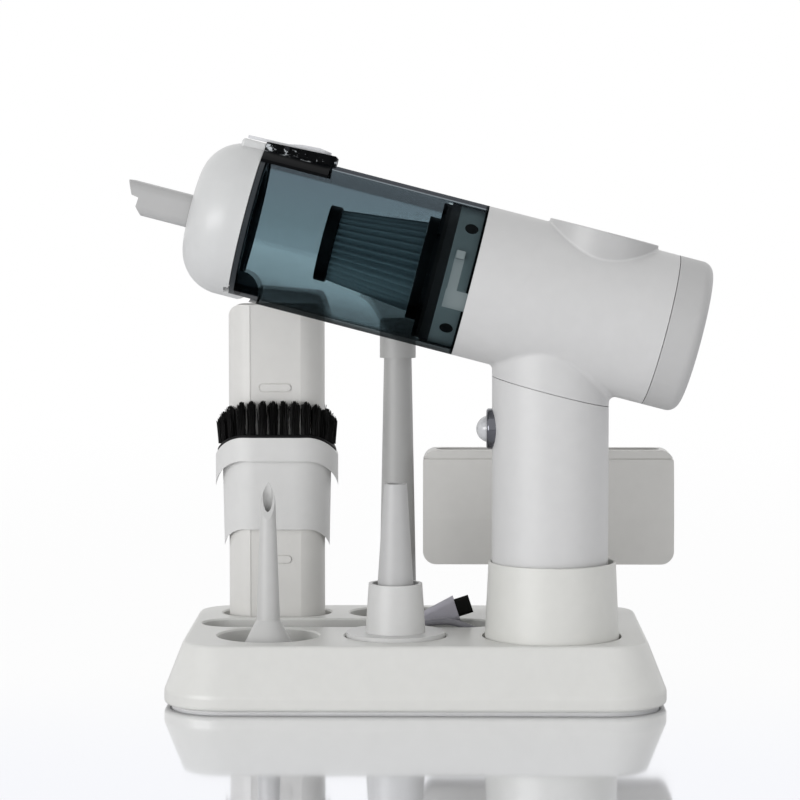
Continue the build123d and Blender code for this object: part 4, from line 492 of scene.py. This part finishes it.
dark_chrome = bare_metal("dark chrome plate", "#6c6d73", 0.12)
steel = bare_metal("turned steel", "#b8b8b8", 0.3)
black_steel = bare_metal("black oxide steel", "#26272a", 0.35)
plug_steel = bare_metal("nickel-plated steel", "#c8c8c8", 0.25)
plug_black = bare_metal("black plated steel", "#1d1d1c", 0.4)
print("materials:", len(bpy.data.materials))

# %% [markdown]
# ## The smoked cup
#
# The cup is clear SAN tinted with a smoke dye. A line of sight through it crosses four surfaces,
# two on each side, and each takes its share of the light. The table gives the colour that white
# has behind the whole cup, by height across the barrel in millimetres. It is dark at the upper
# and lower edges, where light meets the wall at a slant, and palest in a band below the middle.
# The bands of darker and lighter tint between the edges are painted reflection and shade.

# %% Tint the cup across its height
SURFACES_CROSSED = 4
# Dye tint, with painted reflection and shade in the bands between the dark edges.
CUP_TINT_AND_PAINTED_LIGHT = [
    (-33.0, "#020202"), (-31.5, "#0c1011"), (-30.0, "#47575d"), (-20.0, "#6a8189"),
    (-7.2, "#78919a"), (-6.2, "#677e87"), (6.0, "#5f747c"), (24.8, "#5d6e77"),
    (25.4, "#424b51"), (31.2, "#4a545a"), (31.5, "#08090c")]


def cup_tint_with_painted_light(material, z):
    """What one crossing lets through at each height, with painted reflection and shade, as a ramp.
    """
    share = add_node(material, "ShaderNodeMapRange", inputs={
        "Value": z, "From Min": -BARREL_RADIUS, "From Max": BARREL_RADIUS})
    ramp = add_node(material, "ShaderNodeValToRGB", inputs={0: share.outputs[0]})
    stops = ramp.color_ramp.elements
    while len(stops) < len(CUP_TINT_AND_PAINTED_LIGHT):
        stops.new(len(stops) / len(CUP_TINT_AND_PAINTED_LIGHT))
    for stop, (z_mm, seen_white) in zip(stops, CUP_TINT_AND_PAINTED_LIGHT):
        stop.position = (z_mm + BARREL_RADIUS) / (2 * BARREL_RADIUS)
        stop.color = [c ** (1 / SURFACES_CROSSED) for c in linear(seen_white)]
    return ramp.outputs["Color"]


print("heights in the cup's table:", len(CUP_TINT_AND_PAINTED_LIGHT))

# %% [markdown]
# Two dark patches low in the cup are painted shade. The one behind the hinge has a top edge
# that rises gently along the barrel and then falls away in a curve. The one under the filter is
# the filter's painted shadow: it starts at a step and its top edge falls towards the rear. All
# places are in millimetres in the barrel's frame, and the edges are a little soft.

# %% Paint shade low in the cup
SHADE_EDGE = 0.4
HINGE_SHADE_TOP, HINGE_SHADE_RISE, HINGE_SHADE_RISES = -21.3, 4.3, (-90.0, -63.0)
HINGE_SHADE_FALL, HINGE_SHADE_FALLS = 13.0, (-62.0, -50.0)
HINGE_SHADE_LOW, HINGE_SHADE_HIGH, HINGE_SHADE_SHARES = -29.0, -24.0, (0.74, 0.60)
FILTER_SHADOW_TOP, FILTER_SHADOW_FALL, FILTER_SHADOW_FALLS = -17.7, 14.5, (-44.0, -24.0)
FILTER_SHADOW_LIMIT = (-15.0, -16.5)
FILTER_SHADOW_DARKER = 0.26


def hinge_shade(material, x, z):
    """The share of light left by the painted shade behind the hinge."""
    rise = add_node(material, "ShaderNodeMapRange", inputs={
        "Value": x, "From Min": HINGE_SHADE_RISES[0], "From Max": HINGE_SHADE_RISES[1],
        "To Min": HINGE_SHADE_TOP - HINGE_SHADE_RISE, "To Max": HINGE_SHADE_TOP})
    fall = soft_step(material, x, *HINGE_SHADE_FALLS, 0.0, HINGE_SHADE_FALL)
    above = math_node(material, "SUBTRACT", z,
                      math_node(material, "SUBTRACT", rise.outputs[0], fall))
    shaded_wall = soft_step(material, z, HINGE_SHADE_LOW, HINGE_SHADE_HIGH, *HINGE_SHADE_SHARES)
    return soft_step(material, above, -SHADE_EDGE, SHADE_EDGE, shaded_wall, 1.0)


def filter_shadow(material, x, z):
    """The share of light left by the painted shadow under the filter."""
    edge = soft_step(material, x, *FILTER_SHADOW_FALLS, FILTER_SHADOW_TOP,
                     FILTER_SHADOW_TOP - FILTER_SHADOW_FALL)
    above = math_node(material, "SUBTRACT", z, edge)
    start = FILTER_SHADOW_FALLS[0]
    inside = math_node(material, "MULTIPLY", soft_step(material, above, -SHADE_EDGE, SHADE_EDGE),
                       soft_step(material, x, start - SHADE_EDGE, start + SHADE_EDGE))
    inside = math_node(material, "MULTIPLY", inside, soft_step(material, z, *FILTER_SHADOW_LIMIT))
    return math_node(material, "MULTIPLY_ADD", inside, -FILTER_SHADOW_DARKER, 1.0)


print("the webs let through:", HINGE_SHADE_SHARES, 1 - FILTER_SHADOW_DARKER)

# %% [markdown]
# A band at the cup's rear lies over the bayonet ring. It is paler and more neutral than the
# rest, as painted light on the ring behind it, and its very edge is dark. A transparent shader
# carries the tint, so that light passes straight through, and a weak gloss at grazing angles
# gives the polished face.

# %% Make the smoked plastic
REAR_BAND, BAND_EDGE = -17.0, 0.5
REAR_BAND_TOP, REAR_BAND_BOTTOM = (30.2, 29.9), (-29.6, -29.2)
REAR_BAND_PAINTED_LIGHT = (0.748, 0.782, 0.792, 1)
REAR_EDGE, REAR_EDGE_WIDTH, REAR_EDGE_SHARE = -0.9, 0.3, 0.3
SHINE, SHINE_POWER, SHINE_ROUGHNESS = 0.14, 6.0, 0.06


def rear_band(material, x, z):
    """One inside the cup's rear band, and zero elsewhere."""
    within = math_node(material, "MULTIPLY", soft_step(material, z, *REAR_BAND_TOP),
                       soft_step(material, z, *REAR_BAND_BOTTOM))
    return math_node(material, "MULTIPLY", within,
                     soft_step(material, x, REAR_BAND - BAND_EDGE, REAR_BAND))


def smoked_cup():
    """Smoke-tinted SAN, darkened by its dye and by painted shade and reflection."""
    material, place = new_material("clear smoke-tinted SAN")
    x, z = along_barrel(material, place)
    # Painted shade low in the cup darkens the tint.
    painted_shades = math_node(material, "MULTIPLY", hinge_shade(material, x, z), filter_shadow(material, x, z))
    shaded_tint = add_node(material, "ShaderNodeVectorMath", {"operation": "SCALE"},
                      {0: cup_tint_with_painted_light(material, z), "Scale": painted_shades})
    # The rear band is paler as painted light on the ring behind it.
    banded = add_node(material, "ShaderNodeMix", {"data_type": "RGBA"}, {
        "Factor": rear_band(material, x, z), "A": shaded_tint.outputs[0], "B": REAR_BAND_PAINTED_LIGHT})
    rear_edge = soft_step(material, x, REAR_EDGE - REAR_EDGE_WIDTH, REAR_EDGE,
                          1.0, REAR_EDGE_SHARE)
    tint = add_node(material, "ShaderNodeVectorMath", {"operation": "SCALE"},
                    {0: banded.outputs["Result"], "Scale": rear_edge})
    wall = add_node(material, "ShaderNodeBsdfTransparent", inputs={"Color": tint.outputs[0]})
    gloss = add_node(material, "ShaderNodeBsdfAnisotropic", inputs={
        "Color": linear("#b9c4c9"), "Roughness": SHINE_ROUGHNESS})
    facing = add_node(material, "ShaderNodeLayerWeight").outputs["Facing"]
    grazing = math_node(material, "POWER", facing, SHINE_POWER)
    polished = add_node(material, "ShaderNodeMixShader", inputs={
        0: math_node(material, "MULTIPLY", grazing, SHINE),
        1: wall.outputs[0], 2: gloss.outputs[0]})
    return finish_with(material, polished.outputs[0])


smoke_cup = smoked_cup()
print("cup nodes:", len(smoke_cup.node_tree.nodes))

# %% [markdown]
# ## The latch's base and the bayonet ring
#
# The latch's base is black acrylic. Crinkled bright marks along its upper edge are painted
# highlights, drawn by a noise that shows only in that strip. The bayonet ring is grey ABS, and a
# black seal goes round its front end.

# %% Make the banded plastics
GLINT_MM, GLINT_FROM, GLINT_TO = 3.2, (31.6, 32.2), (35.2, 34.6)
GLINT_NOISE = (0.56, 0.62)
RING_SEAL_END, SEAL_EDGE = -11.6, 0.1


def two_tones(material, share, dark, light, roughness, specular):
    """Plastic that changes from a dark to a light colour by a share."""
    tone = add_node(material, "ShaderNodeMix", {"data_type": "RGBA"}, {
        "Factor": share, "A": linear(dark), "B": linear(light)})
    shader = add_node(material, "ShaderNodeBsdfPrincipled", inputs={
        "Base Color": tone.outputs["Result"], "Roughness": roughness,
        "Specular IOR Level": specular})
    return finish_with(material, shader.outputs[0])


def black_with_painted_glints():
    """Black clear-faced plastic over the latch, with crinkled glints painted into its colour."""
    material, place = new_material("black acrylic with painted glints")
    x, z = along_barrel(material, place)
    crinkle = add_node(material, "ShaderNodeTexNoise", inputs={
        "Vector": place, "Scale": 1 / (GLINT_MM * MM), "Detail": 3.0, "Roughness": 0.6})
    # The bright marks are painted highlights in the base colour.
    bright = soft_step(material, crinkle.outputs["Fac"], *GLINT_NOISE)
    in_strip = math_node(material, "MULTIPLY", soft_step(material, z, *GLINT_FROM),
                         soft_step(material, z, *GLINT_TO))
    bright = math_node(material, "MULTIPLY", bright, in_strip)
    return two_tones(material, bright, "#08090b", "#c9ced2", 0.3, 0.04)


def banded_ring():
    """Grey ABS with a black seal band round its front end."""
    material, place = new_material("satin grey-green ABS with a black seal band")
    x, z = along_barrel(material, place)
    behind = soft_step(material, x, RING_SEAL_END - SEAL_EDGE, RING_SEAL_END + SEAL_EDGE)
    return two_tones(material, behind, "#0b0d10", "#747f81", 0.5, 0.25)


latch_black = black_with_painted_glints()
ring_grey = banded_ring()
print("materials:", len(bpy.data.materials))

# %% [markdown]
# ## Filter paper, foam and bristle nylon
#
# Filter paper is a matt felt of fibres. Polyurethane foam has open pores that hold shadow. A
# nylon bristle is nearly black, with a slight sheen. Each is a fine noise in colour and height.
# Real fibres and pores are finer, and are drawn this coarse so that they show.

# %% Make the soft finishes
FIBRE_MM, PORE_MM = 0.6, 1.6
FIBRE_STRENGTH = 0.5


def fibrous(name, dark, light, size_mm, roughness, depth_mm, specular=0.3):
    """A matt fibrous or porous surface."""
    material, place = new_material(name)
    fibre = add_node(material, "ShaderNodeTexNoise", inputs={
        "Vector": place, "Scale": 1 / (size_mm * MM), "Detail": 6.0, "Roughness": 0.7})
    tone = add_node(material, "ShaderNodeMix", {"data_type": "RGBA"}, {
        "Factor": fibre.outputs["Fac"], "A": linear(dark), "B": linear(light)})
    bump = add_node(material, "ShaderNodeBump", inputs={
        "Height": fibre.outputs["Fac"], "Strength": FIBRE_STRENGTH, "Distance": depth_mm * MM})
    shader = add_node(material, "ShaderNodeBsdfPrincipled", inputs={
        "Base Color": tone.outputs["Result"], "Roughness": roughness, "Normal": bump.outputs[0],
        "Specular IOR Level": specular})
    return finish_with(material, shader.outputs[0])


filter_paper = fibrous("pleated filter paper", "#6f7b7f", "#96a3a6", FIBRE_MM, 0.85, 0.1, 0.1)
black_foam = fibrous("open-cell polyurethane foam", "#040404", "#2a2a2c", PORE_MM, 0.95, 0.5)
bristle_nylon = fibrous("black nylon bristle", "#030303", "#0b0a0a", FIBRE_MM, 0.34, 0.01, 0.12)
print("materials:", len(bpy.data.materials))

# %% [markdown]
# ## Bristles
#
# The brush's rim is a long round-ended loop that bows down towards both sides. Tufts stand on it
# at even steps, lean outwards a little, and get shorter towards the loop's ends.

# %% Set out the tufts
BRUSH_X, BRUSH_Y, BRUSH_RIM_Z = -64.0, 40.0, 109.6
LOOP_STRAIGHT, LOOP_RADIUS = 16.9, 16.5
BOW_FLAT, BOW_DROP, BOW_REACH = 14.0, 9.0, 28.0
TUFTS, FIRST_TUFT, ROOT_ABOVE_RIM = 28, 0.12, 0.6
OUTWARD_LEAN = 0.045
END_SHORTER, END_POWER = 0.26, 4
bow_radius = ((BOW_REACH - BOW_FLAT) ** 2 + BOW_DROP ** 2) / (2 * BOW_DROP)


def bow(x):
    """How far the rim has dropped at one distance from the middle."""
    beyond = max(abs(x) - BOW_FLAT, 0.0)
    return bow_radius - math.sqrt(bow_radius ** 2 - beyond ** 2)


def loop_point(share):
    """A place on the loop and its outward direction."""
    around = 2 * math.pi * LOOP_RADIUS
    length = share * (around + 2 * LOOP_STRAIGHT)
    half = LOOP_STRAIGHT / 2
    for centre, start in ((half, -90.0), (-half, 90.0)):
        if length < around / 2:
            angle = math.radians(start) + length / LOOP_RADIUS
            out = Vector((math.cos(angle), math.sin(angle), 0))
            return Vector((centre, 0, 0)) + out * LOOP_RADIUS, out
        length -= around / 2
        side = 1 if start < 0 else -1
        if length < LOOP_STRAIGHT:
            return Vector((side * (half - length), side * LOOP_RADIUS, 0)), Vector((0, side, 0))
        length -= LOOP_STRAIGHT
    return Vector((half, -LOOP_RADIUS, 0)), Vector((0, -1, 0))


def on_rim(at, up):
    """A place in metres above the bowed rim, from one in millimetres on the flat loop."""
    return Vector((BRUSH_X + at.x, BRUSH_Y + at.y, BRUSH_RIM_Z + up - bow(at.x))) * MM


roots, leans, heights = [], [], []
for tuft in range(TUFTS):
    at, out = loop_point((tuft + FIRST_TUFT) / TUFTS)
    roots.append(on_rim(at, ROOT_ABOVE_RIM))
    leans.append((out * OUTWARD_LEAN + Vector((0, 0, 1))).normalized())
    heights.append(1 - END_SHORTER * (abs(at.x) / (LOOP_STRAIGHT / 2 + LOOP_RADIUS)) ** END_POWER)
print("tufts:", len(roots))

# %% [markdown]
# The bristles and the filter's folds are both made by a node tree that repeats one small shape.
# These helpers start a tree with named inputs, end it, and keep its result as a plain mesh.

# %% Define the tree helpers
def new_tree(name, inputs):
    """A geometry tree with named inputs: a mesh first, and then a kind of socket for each name."""
    tree = bpy.data.node_groups.new(name, "GeometryNodeTree")
    tree.interface.new_socket("Geometry", in_out="INPUT", socket_type="NodeSocketGeometry")
    for label, kind in inputs.items():
        tree.interface.new_socket(label, in_out="INPUT", socket_type=kind)
    tree.interface.new_socket("Geometry", in_out="OUTPUT", socket_type="NodeSocketGeometry")
    return tree, add_node(tree, "NodeGroupInput").outputs


def end_tree(tree, geometry, material, merge_within=None):
    """Turn instances into plain mesh, merge points where asked, and give it its material."""
    real = add_node(tree, "GeometryNodeRealizeInstances", inputs={0: geometry})
    if merge_within:
        real = add_node(tree, "GeometryNodeMergeByDistance", inputs={
            "Geometry": real.outputs[0], "Distance": merge_within})
    dressed = add_node(tree, "GeometryNodeSetMaterial", inputs={
        "Geometry": real.outputs[0], "Material": material})
    add_node(tree, "NodeGroupOutput", inputs={0: dressed.outputs[0]})


def bake(name, base_mesh, tree, values):
    """Run a tree on a mesh and keep the result as a plain mesh object."""
    source = bpy.data.objects.new(name + "_base", base_mesh)
    bpy.context.collection.objects.link(source)
    modifier = source.modifiers.new("tree", "NODES")
    modifier.node_group = tree
    for item in tree.interface.items_tree:
        if item.in_out == "INPUT" and item.name in values:
            modifier[item.identifier] = values[item.name]
    result = bpy.data.objects.new(name, as_mesh(source))
    source.modifiers.remove(modifier)
    bpy.data.objects.remove(source)
    bpy.context.collection.objects.link(result)
    print(name, "triangles:", sum(len(p.vertices) - 2 for p in result.data.polygons))
    return result


print("geometry trees so far:", len(bpy.data.node_groups))

# %% [markdown]
# One tuft is a round bundle of tapered nylon strands. They are set out by the golden angle, which
# fills a circle evenly, and each is turned at random and leans outwards a little. The strands at
# the tuft's rim are shorter, so its tip is rounded. The tree works in metres, and its random
# numbers have fixed seeds.

# %% Build one tuft
GOLDEN_ANGLE, FULL_TURN = 2.39996, 6.28
STRAND_SIDES, STRAND_STEPS, STRAND_TIP_RADIUS = 4, 2, 0.00013
WOBBLE, FAN_OUT = 0.05, 0.035
RAGGED_FROM, RAGGED_TO, RIM_SHORTER = 0.92, 1.03, 0.17

tuft_tree, given = new_tree("tufts", {
    "Strands": "NodeSocketInt", "Tuft Radius": "NodeSocketFloat",
    "Strand Length": "NodeSocketFloat", "Strand Radius": "NodeSocketFloat"})
index = add_node(tuft_tree, "GeometryNodeInputIndex").outputs[0]
ratio = math_node(tuft_tree, "DIVIDE", index, given["Strands"])
spread = math_node(tuft_tree, "SQRT", ratio)
reach = math_node(tuft_tree, "MULTIPLY", spread, given["Tuft Radius"])
angle = math_node(tuft_tree, "MULTIPLY", index, GOLDEN_ANGLE)
cosine, sine = (math_node(tuft_tree, name, angle) for name in ("COSINE", "SINE"))
spot = add_node(tuft_tree, "ShaderNodeCombineXYZ", inputs={
    "X": math_node(tuft_tree, "MULTIPLY", reach, cosine),
    "Y": math_node(tuft_tree, "MULTIPLY", reach, sine)})
points = add_node(tuft_tree, "GeometryNodePoints", inputs={
    "Count": given["Strands"], "Position": spot.outputs[0]})
strand = add_node(tuft_tree, "GeometryNodeMeshCone", {"fill_type": "NGON"}, {
    "Vertices": STRAND_SIDES, "Side Segments": STRAND_STEPS, "Fill Segments": 1,
    "Radius Top": STRAND_TIP_RADIUS, "Radius Bottom": given["Strand Radius"],
    "Depth": given["Strand Length"]})
wobble = add_node(tuft_tree, "FunctionNodeRandomValue", {"data_type": "FLOAT_VECTOR"}, {
    "Min": (-WOBBLE, -WOBBLE, 0.0), "Max": (WOBBLE, WOBBLE, FULL_TURN), "Seed": 7})
fan_out = add_node(tuft_tree, "ShaderNodeCombineXYZ", inputs={
    "X": math_node(tuft_tree, "MULTIPLY", math_node(tuft_tree, "MULTIPLY", spread, sine),
                   -FAN_OUT),
    "Y": math_node(tuft_tree, "MULTIPLY", math_node(tuft_tree, "MULTIPLY", spread, cosine),
                   FAN_OUT)})
turn = add_node(tuft_tree, "ShaderNodeVectorMath", {"operation": "ADD"}, {
    0: wobble.outputs[0], 1: fan_out.outputs[0]})
ragged = add_node(tuft_tree, "FunctionNodeRandomValue", {"data_type": "FLOAT"}, {
    2: RAGGED_FROM, 3: RAGGED_TO, "Seed": 3})
rounded = math_node(tuft_tree, "MULTIPLY_ADD", math_node(tuft_tree, "POWER", ratio, 2.0),
                    -RIM_SHORTER, 1.0)
height = add_node(tuft_tree, "ShaderNodeCombineXYZ", inputs={
    "X": 1.0, "Y": 1.0, "Z": math_node(tuft_tree, "MULTIPLY", rounded, ragged.outputs[1])})
strands = add_node(tuft_tree, "GeometryNodeInstanceOnPoints", inputs={
    "Points": points.outputs[0], "Instance": strand.outputs[0],
    "Rotation": turn.outputs[0], "Scale": height.outputs[0]})
one_tuft = add_node(tuft_tree, "GeometryNodeRealizeInstances", inputs={0: strands.outputs[0]})
print("tuft nodes:", len(tuft_tree.nodes))

# %% [markdown]
# A tuft stands on each root. Its root carries two values: the direction it leans in and its
# height. Each tuft is also spun about its own axis, so that no two look alike.

# %% Plant the tufts
STRANDS = 110
TUFT_RADIUS, STRAND_LENGTH, STRAND_RADIUS = 0.00190, 0.0158, 0.00021

lean = add_node(tuft_tree, "GeometryNodeInputNamedAttribute", {"data_type": "FLOAT_VECTOR"},
                {"Name": "lean"})
upright = add_node(tuft_tree, "FunctionNodeAlignRotationToVector", {"axis": "Z"}, {
    "Vector": lean.outputs[0]})
spin = add_node(tuft_tree, "FunctionNodeRandomValue", {"data_type": "FLOAT_VECTOR"}, {
    "Min": (0.0, 0.0, 0.0), "Max": (0.0, 0.0, FULL_TURN), "Seed": 11})
spun = add_node(tuft_tree, "FunctionNodeRotateRotation", {"rotation_space": "LOCAL"}, {
    "Rotation": upright.outputs[0], "Rotate By": spin.outputs[0]})
tuft_height = add_node(tuft_tree, "GeometryNodeInputNamedAttribute", {"data_type": "FLOAT"},
                       {"Name": "tuft_height"})
tuft_size = add_node(tuft_tree, "ShaderNodeCombineXYZ", inputs={
    "X": 1.0, "Y": 1.0, "Z": tuft_height.outputs[0]})
tufts = add_node(tuft_tree, "GeometryNodeInstanceOnPoints", inputs={
    "Points": given["Geometry"], "Instance": one_tuft.outputs[0], "Rotation": spun.outputs[0],
    "Scale": tuft_size.outputs[0]})
end_tree(tuft_tree, tufts.outputs[0], bristle_nylon)

root_mesh = bpy.data.meshes.new("tuft_roots")
root_mesh.from_pydata(roots, [], [])
root_mesh.attributes.new("lean", "FLOAT_VECTOR", "POINT").data.foreach_set(
    "vector", [c for v in leans for c in v])
root_mesh.attributes.new("tuft_height", "FLOAT", "POINT").data.foreach_set("value", heights)
bristles = bake("bristle_tufts", root_mesh, tuft_tree, {
    "Strands": STRANDS, "Tuft Radius": TUFT_RADIUS, "Strand Length": STRAND_LENGTH,
    "Strand Radius": STRAND_RADIUS})
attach(bristles, "brush")
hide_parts("brush_bristles")

# %% [markdown]
# The roots are held by a thin rubber strip that follows the rim. It is a closed loop of one
# outline, with its upper edges broken.

# %% Make the strip under the tufts
STRIP_HALF_WIDTH, STRIP_HEIGHT, STRIP_STEPS = 2.2, 1.2, 96
STRIP_OUTLINE = ((-1, 0.02), (1, 0.02), (1, STRIP_HEIGHT - 0.3), (0.85, STRIP_HEIGHT),
                 (-0.85, STRIP_HEIGHT), (-1, STRIP_HEIGHT - 0.3))
SHARP_ANGLE = 40


def mesh_object(name, bm, material):
    """Turn a bmesh into an object with smooth faces and one material."""
    bmesh.ops.recalc_face_normals(bm, faces=bm.faces)
    mesh = bpy.data.meshes.new(name)
    bm.to_mesh(mesh)
    bm.free()
    mesh.materials.append(material)
    mesh.shade_smooth()
    mesh.set_sharp_from_angle(angle=math.radians(SHARP_ANGLE))
    result = bpy.data.objects.new(name, mesh)
    bpy.context.collection.objects.link(result)
    return result


def closed_band(bm, rows):
    """Join rows of points, each a closed outline, into a closed loop of faces."""
    made = [[bm.verts.new(p) for p in row] for row in rows]
    count = len(made[0])
    for one, two in zip(made, made[1:] + made[:1]):
        for i in range(count):
            j = (i + 1) % count
            bm.faces.new((one[i], one[j], two[j], two[i]))


strip = bmesh.new()
rows = []
for step in range(STRIP_STEPS):
    at, out = loop_point(step / STRIP_STEPS)
    rows.append([on_rim(at + out * side * STRIP_HALF_WIDTH, up) for side, up in STRIP_OUTLINE])
closed_band(strip, rows)
tuft_strip = mesh_object("tuft_strip", strip, seal_black)
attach(tuft_strip, "brush")
print("strip faces:", len(tuft_strip.data.polygons))

# %% [markdown]
# ## The filter's pleats
#
# The filter is a truncated cone of folded paper. One fold is a thin strip that comes in from the
# rim and goes out again, with a rounded crest and valley. A node tree repeats it round the axis
# and merges the folds into one skin. The paper's flat size is its area and the cone's length.

# %% Fold the paper
FILTER_START, FILTER_END = -60.4, -23.6
CREST_FRONT, CREST_REAR, CREST_INSET = 15.5, 19.8, 0.05
VALLEY_SHARE, CREST_POWER = 0.84, 0.8
PLEATS, FOLD_STEPS = 32, 10
MERGE_WITHIN = 1e-6


def fold_outline(crest, share):
    """One place on a single fold, from crest to valley and out to the next crest."""
    angle = (share - 0.5) * 2 * math.pi / PLEATS
    wave = 0.5 + 0.5 * math.cos(share * 2 * math.pi)
    radius = crest * (VALLEY_SHARE + (1 - VALLEY_SHARE) * wave ** CREST_POWER)
    return radius * math.sin(angle), radius * math.cos(angle)


one_fold = bmesh.new()
lines = []
for step in range(FOLD_STEPS + 1):
    line = []
    for end, crest in ((FILTER_START, CREST_FRONT), (FILTER_END, CREST_REAR)):
        y, z = fold_outline(crest - CREST_INSET, step / FOLD_STEPS)
        line.append(one_fold.verts.new(Vector((end, y, z)) * MM))
    lines.append(line)
for one, two in zip(lines, lines[1:]):
    one_fold.faces.new((one[0], one[1], two[1], two[0]))
fold_mesh = bpy.data.meshes.new("one_fold")
one_fold.to_mesh(fold_mesh)
one_fold.free()

pleat_tree, given = new_tree("pleats", {"Count": "NodeSocketInt"})
index = add_node(pleat_tree, "GeometryNodeInputIndex").outputs[0]
full_turn = math_node(pleat_tree, "MULTIPLY", index, 2 * math.pi)
turn = add_node(pleat_tree, "ShaderNodeCombineXYZ", inputs={
    "X": math_node(pleat_tree, "DIVIDE", full_turn, given["Count"])})
points = add_node(pleat_tree, "GeometryNodePoints", inputs={"Count": given["Count"]})
folds = add_node(pleat_tree, "GeometryNodeInstanceOnPoints", inputs={
    "Points": points.outputs[0], "Instance": given["Geometry"], "Rotation": turn.outputs[0]})
end_tree(pleat_tree, folds.outputs[0], filter_paper, merge_within=MERGE_WITHIN)
pleats = bake("filter_paper_pleats", fold_mesh, pleat_tree, {"Count": PLEATS})
pleats.data.transform(barrel)
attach(pleats, "filter")
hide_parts("filter_pleats")

# %% [markdown]
# ## The seal and the foam
#
# Both are turned round the barrel's axis from an outline of places along it and distances from
# it, in millimetres. The seal is a ring of soft rubber with a rounded lip that faces the cup.

# %% Turn the nose's seal
LATHE_STEPS = 96
SEAL_FRONT, SEAL_REAR, SEAL_INNER, SEAL_OUTER = -101.75, -99.2, 25.1, 27.9
LIP_STEPS, LIP_ROOT, LIP_REACH = 6, 1.0, 0.95


def lathe(name, outline, material):
    """Turn a closed outline of (along, radius) round the barrel's axis."""
    bm = bmesh.new()
    rows = []
    for step in range(LATHE_STEPS):
        angle = 2 * math.pi * step / LATHE_STEPS
        rows.append([Vector((x, r * math.sin(angle), r * math.cos(angle))) * MM
                     for x, r in outline])
    closed_band(bm, rows)
    bm.transform(barrel)
    return mesh_object(name, bm, material)


lip_middle, lip_half = (SEAL_INNER + SEAL_OUTER) / 2, (SEAL_OUTER - SEAL_INNER) / 2
seal_outline = [(SEAL_FRONT, SEAL_INNER), (SEAL_FRONT, SEAL_OUTER)]
for step in range(LIP_STEPS + 1):
    bulge = math.pi * step / LIP_STEPS
    seal_outline.append((SEAL_REAR - LIP_ROOT + LIP_REACH * math.sin(bulge),
                         lip_middle + lip_half * math.cos(bulge)))
nose_seal = lathe("nose_seal_lip", seal_outline, seal_black)
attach(nose_seal, "nose")
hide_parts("nose_seal")
print("seal faces:", len(nose_seal.data.polygons))

# %% [markdown]
# The foam is a flat disc behind the rear cap's vents. It filters the exhaust air. Its edges are
# broken, and a pinhole is left at its axis so that the outline closes.

# %% Turn the exhaust foam
FOAM_REAR, FOAM_THICK, FOAM_RADIUS = 97.8, 5.8, 27.2
FOAM_HOLE, FOAM_EDGE_ALONG, FOAM_EDGE_ACROSS = 0.4, 0.5, 0.8
FOAM_FRONT = FOAM_REAR - FOAM_THICK

foam_outline = [(FOAM_FRONT, FOAM_HOLE), (FOAM_FRONT, FOAM_RADIUS - FOAM_EDGE_ACROSS),
                (FOAM_FRONT + FOAM_EDGE_ALONG, FOAM_RADIUS),
                (FOAM_REAR - FOAM_EDGE_ALONG, FOAM_RADIUS),
                (FOAM_REAR, FOAM_RADIUS - FOAM_EDGE_ACROSS), (FOAM_REAR, FOAM_HOLE)]
foam = lathe("exhaust_foam_disc", foam_outline, black_foam)
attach(foam, "exhaust")
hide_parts("exhaust_foam")
print("foam faces:", len(foam.data.polygons))

# %% [markdown]
# ## Dress the solids
#
# Each solid keeps its mesh and gets its own finish.

# %% Give each solid its finish
finishes = {
    dock_white: ["dock_shell"],
    socket_white: ["handle_socket"],
    cover_grey: ["dock_bottom_cover"],
    pad_grey: ["non_slip_pad"],
    shaded_body_white: ["body_shell"],
    handle_white: ["handle_shell", "handle_base"],
    cap_white: ["rear_cap"],
    spout_white: ["spout"],
    nose_pearl: ["nose_cap"],
    tube_grey: ["crevice_tube"],
    brush_grey: ["brush_head"],
    tall_grey: ["tall_nozzle", "tall_nozzle_tip"],
    wide_grey: ["wide_nozzle"],
    adapter_white: ["cone_adapter"],
    pointed_white: ["pointed_nozzle"],
    cone_white: ["cone_tube"],
    lever_silver: ["latch_lever"],
    ring_grey: ["bayonet_ring"],
    front_ring_black: ["cup_front_ring"],
    latch_black: ["latch_base"],
    dark_satin: ["filter_cap", "filter_base", "ring_plugs", "inlet_plate", "power_switch",
                 "battery_holder", "cable_tie"],
    fan_grey: ["fan_shroud", "impeller", "motor_bracket"],
    seal_black: ["inlet_flap"],
    dark_chrome: ["button_bezel"],
    button_pearl: ["power_button"],
    black_steel: ["hinge_pin", "latch_pin"],
    steel: ["dock_screws", "motor_screws", "motor_shaft", "motor_can"],
    cell_wrap: ["battery_cells"],
    board_green: ["circuit_board"],
    plug_steel: ["usb_a_shell", "charge_port"],
    plug_black: ["usb_c_shell"],
    lilac_grey: ["usb_c_overmould", "usb_a_overmould"],
    smoke_cup: ["dust_cup"],
}
for material, names in finishes.items():
    for name in names:
        for slot in nodes[name].material_slots:
            slot.material = material
print("finishes:", len(finishes), "solids dressed:", sum(len(n) for n in finishes.values()))

# %% [markdown]
# The cable gets its finish too.

cable.data.materials.append(cable_grey)
